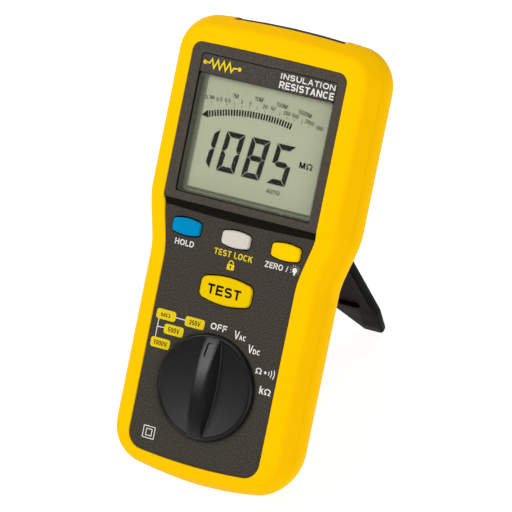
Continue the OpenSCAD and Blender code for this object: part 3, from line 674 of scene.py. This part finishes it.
def glyph(letter, w, h, s):
    """Filled shapes and open or closed strokes of one letter in a box w by h with stroke width s."""
    a, b, lo, hi, mid = s / 2, w - s / 2, s / 2, h - s / 2, h / 2
    cx, rx = w / 2, (w - s) / 2
    bar = lambda x0, x1, y0, y1: [(x0, y0), (x1, y0), (x1, y1), (x0, y1)]
    stem, t = bar(0, s, 0, h), 1.1 * s
    cross = bar(0, w, mid - s / 2, mid + s / 2)
    shapes, strokes = [], []
    if letter in "EFL":
        top, foot = bar(0, w, h - s, h), bar(0, w, 0, s)
        shapes = [stem] + {"E": [foot, top, bar(0, w * 0.93, mid - s / 2, mid + s / 2)],
                           "F": [top, bar(0, w * 0.92, mid - s / 2, mid + s / 2)],
                           "L": [foot]}[letter]
    elif letter == "H":
        shapes = [stem, bar(w - s, w, 0, h), cross]
    elif letter in "I.":
        shapes = [bar(0, s, 0, h if letter == "I" else s)]
    elif letter == "T":
        shapes = [bar(0, w, h - s, h), bar(cx - s / 2, cx + s / 2, 0, h)]
    elif letter == "N":
        shapes = [stem, bar(w - s, w, 0, h), [(0, h), (t, h), (w, 0), (w - t, 0)]]
    elif letter == "M":
        shapes = [stem, bar(w - s, w, 0, h), [(0, h), (1.2 * s, h), (cx + 0.5 * s, 0), (cx - 0.5 * s, 0)],
                  [(w, h), (w - 1.2 * s, h), (cx - 0.5 * s, 0), (cx + 0.5 * s, 0)]]
    elif letter in "AV":
        t = 0.95 * s
        inner = h * (cx - t) / (cx - t / 2)
        shapes = [[(0, 0), (t, 0), (cx, inner), (w - t, 0), (w, 0), (cx + t / 2, h), (cx - t / 2, h)]]
        if letter == "A":
            shapes.append(bar(w * 0.2, w * 0.8, h * 0.24, h * 0.24 + s * 0.85))
        else:
            shapes = [[(x, h - y) for x, y in shapes[0]]]
    elif letter in "Kk":
        top = h if letter == "K" else h * 0.72
        shapes = [stem,
                  [(s * 0.8, top * 0.34), (s * 0.8, top * 0.34 + s * 1.25), (w - s * 1.25, top), (w, top)],
                  [(w * 0.36, top * 0.54), (w * 0.36 + s * 0.95, top * 0.68), (w, 0), (w - s * 1.25, 0)]]
    elif letter == "Z":
        shapes = [bar(0, w, 0, s), bar(0, w, h - s, h),
                  [(0, s * 0.9), (w - 1.2 * s, h - s), (w, h - s * 0.9), (1.2 * s, s)]]
    elif letter == "/":
        shapes = [[(0, 0), (s * 0.8, 0), (w, h), (w - s * 0.8, h)]]
    elif letter == "1":
        shapes = [bar(w * 0.55, w * 0.55 + s, 0, h),
                  [(w * 0.12, h * 0.7), (w * 0.12, h * 0.7 + s), (w * 0.55, h), (w * 0.6, h - s)]]
    elif letter in "O0":
        strokes = [(bow(cx, mid, rx, mid - lo, 0, 348, 29), True)]
    elif letter == "C":
        strokes = [(bow(cx, mid, rx, mid - lo, 42, 318, 24), False)]
    elif letter == "D":
        bowl = bow(w * 0.42, mid, b - w * 0.42, mid - lo, -90, 90, 14, 2.2)
        strokes = [([(a, lo)] + bowl + [(a, hi)], True)]
    elif letter == "U":
        strokes = [([(a, h)] + bow(cx, lo + rx, rx, rx, 180, 360, 12) + [(b, h)], False)]
    elif letter == "R":
        bowl, y = (hi - h * 0.47) / 2, h * 0.47
        shapes = [stem, [(w * 0.46, y + s * 0.3), (w * 0.46 + t, y + s * 0.3), (w, 0), (w - t, 0)]]
        strokes = [([(a, hi)] + bow(b - bowl, hi - bowl, bowl, bowl, 90, -90, 10, 2) + [(a, y)], False)]
    elif letter == "S":
        ry0, ry1 = (hi - h * 0.51) / 2, (h * 0.51 - lo) / 2
        upper = bow(cx, hi - ry0, rx, ry0, 28, 270, 16)
        strokes = [(upper + bow(cx, lo + ry1, rx, ry1, 90, -152, 16)[1:], False)]
    elif letter == "2":
        ry = h * 0.27
        shapes = [bar(0, w, 0, s)]
        strokes = [(bow(cx, hi - ry, rx, ry, 172, -38, 12, 2) + [(a, lo + s * 0.2)], False)]
    elif letter == "5":
        ry = (h * 0.62 - s) / 2
        shapes = [bar(w * 0.14, w * 0.94, h - s, h)]
        bowl = bow(cx, lo + ry, rx, ry, 128, -150, 16, 2)
        strokes = [([(w * 0.24, hi), (w * 0.15, h * 0.46)] + bowl, False)]
    return shapes, strokes


class Print:
    """Flat printed shapes that share one colour and one height."""

    def __init__(self, name, material, z, body="case", slot="white_plastic", thick=0.04):
        self.name, self.material, self.z = name, material, z
        self.body, self.slot, self.thick = body, slot, thick
        self.points, self.faces = [], []

    def add(self, points, faces):
        start = len(self.points)
        self.points += points
        self.faces += [tuple(i + start for i in f) for f in faces]

    def shape(self, points):
        self.add(list(points), [tuple(range(len(points)))])

    def text(self, text, x0, x1, y0, y1, weight=0.17, turn=0.0):
        """A line of capitals and digits filling a box, turned about the box's centre."""
        h, total = y1 - y0, sum(WIDTHS[c] for c in text) + LETTER_GAP * (len(text) - 1)
        unit, s, x = (x1 - x0) / total, weight * (y1 - y0), x0
        cx, cy, c, n = (x0 + x1) / 2, (y0 + y1) / 2, math.cos(turn), math.sin(turn)
        place = lambda px, py: (cx + (px - cx) * c - (py - cy) * n, cy + (px - cx) * n + (py - cy) * c)
        for letter in text:
            w = WIDTHS[letter] * unit
            shapes, strokes = glyph(letter, w, h, s)
            for points in shapes:
                self.shape([place(x + px, y0 + py) for px, py in points])
            for path, closed in strokes:
                self.stroke([place(x + px, y0 + py) for px, py in path], s, closed)
            x += w + LETTER_GAP * unit

    def stroke(self, path, width, closed=False):
        """A line of even width along a path, mitred at its corners."""
        count = len(path)
        left, right = [], []
        for i, (x, y) in enumerate(path):
            a = path[(i - 1) % count] if closed or i > 0 else path[i]
            b = path[(i + 1) % count] if closed or i < count - 1 else path[i]
            d0 = Vector((x - a[0], y - a[1])).normalized() if (x, y) != tuple(a) else None
            d1 = Vector((b[0] - x, b[1] - y)).normalized() if (x, y) != tuple(b) else None
            d0, d1 = d0 or d1, d1 or d0
            n0, n1 = Vector((-d0.y, d0.x)), Vector((-d1.y, d1.x))
            n = (n0 + n1).normalized()
            n = n * (width / 2 / max(0.35, n.dot(n0)))
            left.append((x + n.x, y + n.y))
            right.append((x - n.x, y - n.y))
        links = [(i, (i + 1) % count) for i in range(count if closed else count - 1)]
        self.add(left + right, [(i, j, j + count, i + count) for i, j in links])

    def disc(self, x, y, r, facets=20):
        self.shape([(x + dx, y + dy) for dx, dy in circle(r, facets)])

    def omega(self, x0, x1, y0, y1, width):
        """The ohm sign: an open circle on two feet."""
        cx, foot = (x0 + x1) / 2, y0 + width / 2
        rx, ry = (x1 - x0) / 2 - width * 0.55, (y1 - y0) * 0.43 - width / 2
        cy, leg = y1 - width / 2 - ry, (x1 - x0) * 0.19
        turns = [math.radians(a) for a in range(32, 329, 12)]
        ring = [(cx - rx * math.sin(a), cy - ry * math.cos(a)) for a in turns]
        self.stroke([(x0, foot), (cx - leg, foot)] + ring + [(cx + leg, foot), (x1, foot)], width)

    def make(self):
        """Gives the printed shapes their thickness and makes the piece."""
        count = len(self.points)
        points = [(x, y, z) for z in (self.z + self.thick, self.z) for x, y in self.points]
        edges = {}
        for f in self.faces:
            for a, b in zip(f, f[1:] + f[:1]):
                edges[frozenset((a, b))] = edges.get(frozenset((a, b)), []) + [(a, b)]
        faces = list(self.faces) + [tuple(i + count for i in reversed(f)) for f in self.faces]
        faces += [(b, a, a + count, b + count) for uses in edges.values() if len(uses) == 1 for a, b in uses]
        return mesh_piece(self.name, points, faces, self.material, body=self.body, slot=self.slot, sharp=30)


white = Print("print_white", PRINT_WHITE, 0.01)
yellow = Print("print_yellow", PRINT_YELLOW, 0.01)
dark = Print("print_on_pills", PRINT_DARK, 0.09)
pills = Print("range_pills", PILL, 0.02, thick=0.06)

white.text("HOLD", -30.1, -20.3, 104.9, 107.6, 0.18)
white.text("ZERO /", 16.5, 28.2, 104.9, 107.6, 0.18)
yellow.text("TEST LOCK", -9.6, 10.0, 104.9, 107.7, 0.18)
# padlock
yellow.shape(rounded(-1.85, 1.75, 99.4, 102.0, 0.3, 4))
yellow.stroke([(-1.15, 101.8), (-1.15, 102.5)] + arc(-0.05, 102.5, 1.1, 180, 0, 8) + [(1.05, 101.8)], 0.5)
dark.disc(-0.05, 101.0, 0.42)
dark.shape([(-0.27, 99.9), (0.17, 99.9), (0.17, 101.0), (-0.27, 101.0)])
# lamp with rays
bulb = arc(31.6, 106.5, 1.2, -50, 230, 14)
white.shape([(31.2, 104.3), (32.0, 104.3), (32.1, 105.3)] + bulb + [(31.1, 105.3)])
for a in range(-30, 211, 30):
    c, s = math.cos(math.radians(a)), math.sin(math.radians(a))
    white.stroke([(31.6 + 1.7 * c, 106.5 + 1.7 * s), (31.6 + 2.4 * c, 106.5 + 2.4 * s)], 0.16)
# ranges round the knob
PILL_W, PILL_H = 10.0, 4.6
PILL_TEXTS = [("250V", -12.0, 72.1, 5.7), ("500V", -21.7, 66.3, 5.9), ("1000V", -27.2, 59.2, 7.1),
              (None, -27.0, 72.3, 0)]
for text, x, y, w in PILL_TEXTS:
    pills.shape(rounded(x - PILL_W / 2, x + PILL_W / 2, y - PILL_H / 2, y + PILL_H / 2, 1.2, 6))
    if text:
        dark.text(text, x - w / 2, x + w / 2, y - 1.1, y + 1.1, 0.15)
dark.text("M", -29.5, -27.5, 71.3, 73.1, 0.16)
dark.omega(-27.1, -24.8, 71.3, 73.1, 0.3)
white.stroke([(-30.3, 70.2), (-30.3, 61.4)], 0.38)
white.stroke([(-30.3, 66.4), (-26.2, 66.4)], 0.38)
white.stroke([(-22.4, 72.3), (-16.6, 72.2)], 0.38)
white.text("OFF", -3.8, 4.5, 71.5, 74.5, 0.19)
white.text("V", 8.6, 11.2, 70.0, 73.7, 0.155)
white.text("AC", 11.3, 14.8, 70.0, 72.2, 0.2)
white.text("V", 16.7, 19.2, 65.5, 69.2, 0.155)
white.text("DC", 19.4, 23.1, 65.5, 67.7, 0.2)
white.omega(22.6, 25.7, 57.5, 60.2, 0.5)
white.disc(27.5, 58.8, 0.62)
for r, spread in ((1.4, 36), (2.7, 36), (4.1, 30)):
    white.stroke(arc(28.0, 58.8, r, -spread, spread, 8), 0.42)
white.text("k", 26.4, 28.5, 49.1, 52.6, 0.17)
white.omega(28.8, 32.1, 49.1, 52.0, 0.5)
white.stroke(rounded(-26.8, -21.0, 15.8, 21.2, 0.05, 1), 0.36, closed=True)
white.stroke(rounded(-25.3, -22.4, 17.0, 20.0, 0.05, 1), 0.36, closed=True)
for p in (pills, white, yellow, dark):
    p.make()

test_cx, test_cy = key_centre("test_button")
on_key = Print("print_on_test_key", PRINT_DARK, 1.5, body="test_key", thick=0.13)
on_key.text("TEST", test_cx - 8.9, test_cx + 8.1, test_cy - 2.55, test_cy + 2.05, 0.21)
on_key.make()

# top band of the bezel
band_y = Print("band_symbol", PRINT_YELLOW, BEZEL_H - 0.29)
SIGN_Y, SIGN_H = 188.0, 1.9
zig = [(-28.6 + i * 1.5, SIGN_Y + (SIGN_H if i % 2 == 0 else -SIGN_H)) for i in range(8)]
band_y.stroke([(-31.9, SIGN_Y), (-29.6, SIGN_Y)] + zig + [(-17.1, SIGN_Y), (-14.4, SIGN_Y)], 0.7)
for x in (-31.9, -14.2):
    band_y.disc(x, SIGN_Y, 0.95)
band_w = Print("band_title", PRINT_WHITE, BEZEL_H - 0.29)
band_w.text("INSULATION", 6.7, 34.2, 188.3, 190.9, 0.19)
band_w.text("RESISTANCE", 6.7, 34.2, 184.1, 187.3, 0.19)
for p in (band_y, band_w):
    p.make()

# ---------------------------------------- display segments
SEG_Z = FILM_Z + 0.24
lcd = Print("lcd_segments", SEGMENT, SEG_Z, slot="lcd", thick=0.03)
DIGIT_Y0, DIGIT_H, DIGIT_W, DIGIT_SLANT, SEG_W = 141.3, 18.5, 9.5, 0.108, 2.5


def segments(x, lit):
    """Seven-segment digit with mitred bars; x is the left end of its foot."""
    h, w, g, t = DIGIT_H, DIGIT_W, 0.2, SEG_W
    m = h / 2
    shapes = {
        "a": [(g, h), (w - g, h), (w - t - g, h - t), (t + g, h - t)],
        "b": [(w, h - g), (w, m + g), (w - t / 2, m + g * 0.4), (w - t, m + t / 2 + g), (w - t, h - t - g)],
        "c": [(w, m - g), (w, g), (w - t, t + g), (w - t, m - t / 2 - g), (w - t / 2, m - g * 0.4)],
        "d": [(g, 0), (w - g, 0), (w - t - g, t), (t + g, t)],
        "e": [(0, m - g), (0, g), (t, t + g), (t, m - t / 2 - g), (t / 2, m - g * 0.4)],
        "f": [(0, h - g), (0, m + g), (t / 2, m + g * 0.4), (t, m + t / 2 + g), (t, h - t - g)],
        "g": [(t / 2 + g, m), (t + g, m + t / 2), (w - t - g, m + t / 2),
              (w - t / 2 - g, m), (w - t - g, m - t / 2), (t + g, m - t / 2)]}
    for s in lit:
        lcd.shape([(x + px + DIGIT_SLANT * py, DIGIT_Y0 + py) for px, py in shapes[s]])


for x, lit in ((-31.3, "bc"), (-18.3, "abcdef"), (-5.35, "abcdefg"), (7.7, "acdfg")):
    segments(x, lit)
lcd.text("M", 22.2, 25.2, 151.2, 154.0, 0.24)
lcd.omega(25.7, 28.9, 151.2, 154.0, 0.55)
lcd.text("AUTO", 8.6, 15.4, 136.9, 138.9, 0.16)

# bar graph along a shallow arc, from the arrow tip to its right end
BAR_COUNT, BAR_H, BAR_HALF = 31, 2.8, 0.41
A, B, C = Vector((-26.8, 165.5)), Vector((-2.9, 169.5)), Vector((14.15, 168.2))


def circle_through(a, b, c):
    """Centre and radius of the circle through three points."""
    d = 2 * (a.x * (b.y - c.y) + b.x * (c.y - a.y) + c.x * (a.y - b.y))
    sq = [v.length_squared for v in (a, b, c)]
    ux = (sq[0] * (b.y - c.y) + sq[1] * (c.y - a.y) + sq[2] * (a.y - b.y)) / d
    uy = (sq[0] * (c.x - b.x) + sq[1] * (a.x - c.x) + sq[2] * (b.x - a.x)) / d
    return Vector((ux, uy)), (a - Vector((ux, uy))).length


CENTRE, RADIUS = circle_through(A, B, C)
turn_of = lambda p: math.atan2(p.y - CENTRE.y, p.x - CENTRE.x)
a0, a1 = turn_of(A), turn_of(C)
on_arc = lambda a, r=0.0: (CENTRE.x + (RADIUS + r) * math.cos(a), CENTRE.y + (RADIUS + r) * math.sin(a))
for i in range(BAR_COUNT):
    a = a0 + (a1 - a0) * i / (BAR_COUNT - 1)
    half = BAR_HALF / RADIUS
    lcd.shape([on_arc(a + half, -BAR_H / 2), on_arc(a + half, BAR_H / 2),
               on_arc(a - half, BAR_H / 2), on_arc(a - half, -BAR_H / 2)])
tip = a0 + 4.2 / RADIUS
back = a0 + 0.75 / RADIUS
lcd.shape([on_arc(tip, 0), on_arc(back, 1.8), on_arc(back, -1.8)])

# scale: name, centre of its label and whether it is one of the large ones
TICKS = [("0.1M", -28.4, 172.7, 0), ("0.2", -23.5, 172.7, 0), ("0.5", -19.2, 173.1, 0),
         ("1M", -15.8, 175.9, 1), ("2", -12.1, 173.9, 0), ("5", -7.7, 174.0, 0),
         ("10M", -4.0, 176.8, 1), ("20", -0.2, 174.2, 0), ("50", 3.9, 174.2, 0),
         ("100M", 7.9, 176.5, 1), ("200", 11.1, 173.6, 0), ("500", 15.4, 173.2, 0),
         ("1000M", 19.8, 175.3, 1), ("2000", 23.0, 171.9, 0)]
A, B, C = Vector((-26.8, 169.4)), Vector((-4.1, 171.7)), Vector((22.7, 169.5))
CENTRE, RADIUS = circle_through(A, B, C)
for text, x, y, big in TICKS:
    h = 2.0 if big else 1.8
    w = h * 0.98 * (sum(WIDTHS[c] for c in text) + LETTER_GAP * (len(text) - 1))
    lcd.text(text, x - w / 2, x + w / 2, y - h / 2, y + h / 2, 0.13, turn_of(Vector((x, y))) - math.pi / 2)
a0, a1 = turn_of(A), turn_of(C)
TICK_GAPS = 13
for i in range(TICK_GAPS + 1):
    a = a0 + (a1 - a0) * i / TICK_GAPS
    lcd.stroke([on_arc(a, 0.0), on_arc(a, 1.9 if i % 3 == 0 else 1.0)], 0.19)
turns = [2 * math.pi * i / 40 for i in range(40)]
lcd.stroke([(28.4 + 1.55 * math.sin(t), 170.5 + 0.85 * math.sin(2 * t)) for t in turns], 0.32, closed=True)
lcd.make()


# ---------------------------------------- selector knob
BAR_TOP, BAR_CROWN = 7.6, 55.0
DISH_FLOOR, DISH_RIM, DISH_R = 0.7, 2.1, 22.35


def lathe(profile, cx, cy):
    """Turns a profile of (radius, height) about an upright axis."""
    return loft([[(cx + dx, cy + dy, z) for dx, dy in circle(r, 96)] for r, z in profile])


def dish(r):
    """Height of the hollow face of the knob."""
    return DISH_FLOOR + (DISH_RIM - DISH_FLOOR) * (r / DISH_R) ** 2


def knob_base():
    rim = [(24.5, 0.3), (24.55, 0.9), (24.45, 1.5), (24.2, 2.1), (23.9, 2.5), (23.55, 2.78),
           (23.2, 2.85), (22.9, 2.75), (22.65, 2.45), (DISH_R, DISH_RIM)]
    inner = [(DISH_R * (1 - i / 12), dish(DISH_R * (1 - i / 12))) for i in range(1, 12)]
    return lathe(rim + inner, 0, KNOB_Y)


def bar_section(y):
    """Section of the grip across the knob: a waisted bar with a spreading foot and a rounded top."""
    t = y / 22.5
    top = BAR_TOP - (BAR_CROWN - math.sqrt(BAR_CROWN ** 2 - y * y))
    half = 3.25 + 0.65 * t * t
    spread = 2.3 * max(0.0, 1 - (abs(y) / 21.8) ** 2.2)
    foot = half + spread
    low = min(dish(min(abs(y), DISH_R)), 2.2) - 0.25
    edge = 0.35
    down = max(0.3, top - low)
    lean = spread / down
    right = [(foot + 0.42, low), (foot + 0.4, low + 0.42), (foot + 0.22, low + 0.6), (foot - 0.02, low + 0.62),
             (half + lean * edge * 1.3, top - edge * 1.3), (half - 0.02, top - edge * 0.35),
             (half - edge, top), (half * 0.5, top + 0.06)]
    return [(x, y + KNOB_Y, z) for x, z in right] + [(-x, y + KNOB_Y, z) for x, z in reversed(right)]


mesh_piece("knob_dish", *knob_base(), DISH, body="selector", sharp=40, slot="knob_plastic",
           replaces=["selector_knob"])
BAR_END, BAR_STEPS = 22.9, 60
sections = [bar_section(-BAR_END + 2 * BAR_END * i / BAR_STEPS) for i in range(BAR_STEPS + 1)]
grip = mesh_piece("knob_grip", *loft(sections), GRIP, body="selector", sharp=40, slot="knob_plastic")
# pointer recess near the top end of the grip
MARK_Y, MARK_DEPTH = 17.2, 0.8
tilt = math.asin(MARK_Y / BAR_CROWN)
low, high = [], []
for x, y in rounded(-1.65, 1.65, -3.5, 3.5, 1.0, 5):
    for level, ring in ((BAR_CROWN - MARK_DEPTH, low), (BAR_CROWN + 2, high)):
        ring.append((x, KNOB_Y + y * math.cos(tilt) + level * math.sin(tilt),
                     BAR_TOP - BAR_CROWN + level * math.cos(tilt) - y * math.sin(tilt)))
subtract(grip, [loft([low, high])])


# ---------------------------------------- tilt stand
STAND_W, STAND_L, STAND_TIP_W, STAND_T = 33.5, 70.5, 30.5, 4.0
ARM_X = 30
ARCH_W, ARCH_TOP_W, ARCH_H = 20.0, 9.0, 17.5


def stand_outline():
    """The leg from its hinge down, with an arch between its feet."""
    right = [(STAND_W, -1.5), (STAND_W, -48.5)]
    right += bow(STAND_W - 1.2, -50.5, 1.2, 2.4, 0, -25, 3, 2)
    right += arc(STAND_TIP_W - 1.5, -STAND_L + 1.7, 1.7, -8, -90, 5)
    right += [(ARCH_W + 0.6, -STAND_L), (ARCH_W - 0.2, -STAND_L + 0.9)]
    right += [(ARCH_TOP_W + 1.2, -STAND_L + ARCH_H - 1.6), (ARCH_TOP_W - 0.6, -STAND_L + ARCH_H)]
    return right + [(-x, y) for x, y in reversed(right)]


def stand_mesh():
    half = STAND_T / 2
    levels = [(0.9, -half), (0.25, -half + 0.25), (0.0, -half + 0.9),
              (0.0, half - 1.3), (0.35, half - 0.5), (1.1, half)]
    return loft([[(x, y, z) for x, y in inset_outline(stand_outline(), inset)] for inset, z in levels])


def inset_outline(shape, d):
    """Moves every edge of an outline inwards by d."""
    if d == 0:
        return list(shape)
    area = sum(a[0] * b[1] - b[0] * a[1] for a, b in zip(shape, shape[1:] + shape[:1]))
    turn = 1 if area > 0 else -1
    moved = []
    for i, p in enumerate(shape):
        a, b = Vector(shape[i - 1]), Vector(shape[(i + 1) % len(shape)])
        q = Vector(p)
        d0, d1 = (q - a).normalized(), (b - q).normalized()
        n0, n1 = Vector((-d0.y, d0.x)) * turn, Vector((-d1.y, d1.x)) * turn
        n = (n0 + n1).normalized()
        moved.append(tuple(q + n * d / max(0.5, n.dot(n0))))
    return moved


stand = mesh_piece("stand_leg", *stand_mesh(), STANDM, place=STAND, body="stand", slot="stand_plastic",
                   replaces=["tilt_stand"])
# shallow fields, side grooves and foot recesses on the outer face
cuts = [prism(rounded(-26.0, 26.0, -46.5, -10, 1.5), 0.5, 5),
        prism(rounded(-24, 24, -47.4, -45.4, 0.6), -0.8, 5)]
for side in (-1, 1):
    x0, x1 = sorted((side * 32.3, side * 31.7))
    cuts.append(block(x0, x1, -44, -4, 1.5, 5))
    cuts.append(prism(rounded(side * 25.8 - 4.2, side * 25.8 + 4.2, -68.3, -65.3, 0.4), 0.2, 5))
subtract(stand, cuts)
for side in (-1, 1):
    x0, x1 = sorted((side * KNUCKLE_X, side * ARM_X))
    subtract(stand, [tube_x(x0, x1, 0, 0, KNUCKLE_R)], union=True)
subtract(stand, [tube_x(-40, 40, 0, 0, 1.55), block(-KNUCKLE_X, KNUCKLE_X, -3.4, 6, -5, 5)])


# ---------------------------------------- CAD nodes that stay, with their materials
def metal(name, base, rough):
    return plastic(name, base, rough, 900, 0.05, 0.05, 0.5, metallic=1.0)


STEEL = metal("steel_plated", colour(190, 190, 188), 0.3)
GOLD = metal("gold_plated", colour(212, 172, 90), 0.3)
RUBBER = plastic("rubber_black", colour(22, 22, 22), 0.75, 1200, 0.3, 0.1, 0.3)
BLACKP = plastic("plastic_black", colour(26, 26, 27), 0.45, 1800, 0.2, 0.06, 0.4)
WHITEP = plastic("plastic_white", colour(226, 224, 218), 0.45, 1500, 0.1, 0.03, 0.4)
BOARD = plastic("solder_mask", colour(22, 92, 50), 0.35, 700, 0.2, 0.12, 0.5, colour(180, 150, 70), 420)
TAPE = plastic("winding_tape", colour(205, 165, 40), 0.4, 400, 0.4, 0.12, 0.5)
SLEEVE = plastic("capacitor_sleeve", colour(30, 60, 120), 0.3, 900, 0.1, 0.08, 0.5)
CERAMIC = plastic("fuse_ceramic", colour(224, 220, 210), 0.3, 900, 0.1, 0.03, 0.5)
JACKET = plastic("battery_jacket", colour(48, 48, 52), 0.3, 500, 0.1, 0.1, 0.5, colour(170, 120, 50), 60)
NODE_LOOKS = {
    STEEL: ["board_spacers", "detent_spring", "fuse_clips", "battery_contacts", "case_screws",
            "stand_hinge_pin", "selector_shaft", "battery_cover_screw"],
    GOLD: ["switch_contact_ring", "input_sockets", "wiper_contacts"],
    RUBBER: ["case_seal", "lcd_connector_strips", "stand_foot_pads"],
    BLACKP: ["button_switches", "buzzer", "battery_holder"],
    WHITEP: ["lcd_backlight", "relay", "switch_rotor"],
    BOARD: ["main_board", "measuring_board"], TAPE: ["hv_transformer"], SLEEVE: ["hv_capacitors"],
    CERAMIC: ["fuse"], JACKET: ["battery_cells"], YELLOW: ["battery_cover"], PANEL: ["terminal_panel"]}
for look, names in NODE_LOOKS.items():
    for name in names:
        node = frame["nodes"][name]
        node.data.materials.clear()
        node.data.materials.append(look)

# ---------------------------------------- floor, light and camera
floor_mesh = bpy.data.meshes.new("floor")
REACH = 4.0
floor_mesh.from_pydata([(-REACH, -REACH, 0), (REACH, -REACH, 0), (REACH, REACH, 0), (-REACH, REACH, 0)], [],
                       [(0, 1, 2, 3)])
floor = bpy.data.objects.new("floor", floor_mesh)
bpy.context.scene.collection.objects.link(floor)
floor.location.z = cad_box[0][2] - 0.0003
FLOOR = plastic("floor_pale", grey(0.25), 0.9, 20, 0.0, 0.003, 0.0)
FLOOR.node_tree.nodes["Principled BSDF"].inputs["Emission Color"].default_value = FULL_WHITE
FLOOR.node_tree.nodes["Principled BSDF"].inputs["Emission Strength"].default_value = 0.9
floor_mesh.materials.append(FLOOR)

world = bpy.data.worlds.new("studio")
bpy.context.scene.world = world
world.use_nodes = True
world.node_tree.nodes["Background"].inputs["Color"].default_value = FULL_WHITE
world.node_tree.nodes["Background"].inputs["Strength"].default_value = 0.24


def soft_light(name, direction, distance, size, power):
    """A square area light that looks at the middle of the case."""
    data = bpy.data.lights.new(name, "AREA")
    data.energy, data.size, data.shape = power, size, "SQUARE"
    o = bpy.data.objects.new(name, data)
    target = Vector((0, 0, 0.08))
    o.location = target + Vector(direction).normalized() * distance
    o.rotation_mode = "QUATERNION"
    o.rotation_quaternion = (target - o.location).to_track_quat("-Z", "Y")
    bpy.context.scene.collection.objects.link(o)


soft_light("key_light", (-0.44, -0.35, 0.83), 1.7, 1.0, 21.5)
soft_light("fill_light", (1.3, -0.6, 0.5), 1.5, 1.0, 8.5)
soft_light("top_light", (0.1, 0.6, 0.9), 1.6, 0.8, 5)

# camera placed in body axes: its right, up and back directions are the columns
camera_data = bpy.data.cameras.new("camera")
camera = bpy.data.objects.new("camera", camera_data)
bpy.context.scene.collection.objects.link(camera)
place = Matrix(((0.8696, -0.2251, 0.4395), (0.1996, 0.9743, 0.1042), (-0.4517, -0.0029, 0.8922))).to_4x4()
place.translation = Vector((724.47, 277.58, 1447.7)) * MM
camera.matrix_world = BODY @ place
camera_data.sensor_width, camera_data.lens = 36, 255.63
camera_data.clip_end = 50
bpy.context.scene.camera = camera
bpy.context.scene.view_settings.view_transform = "Standard"
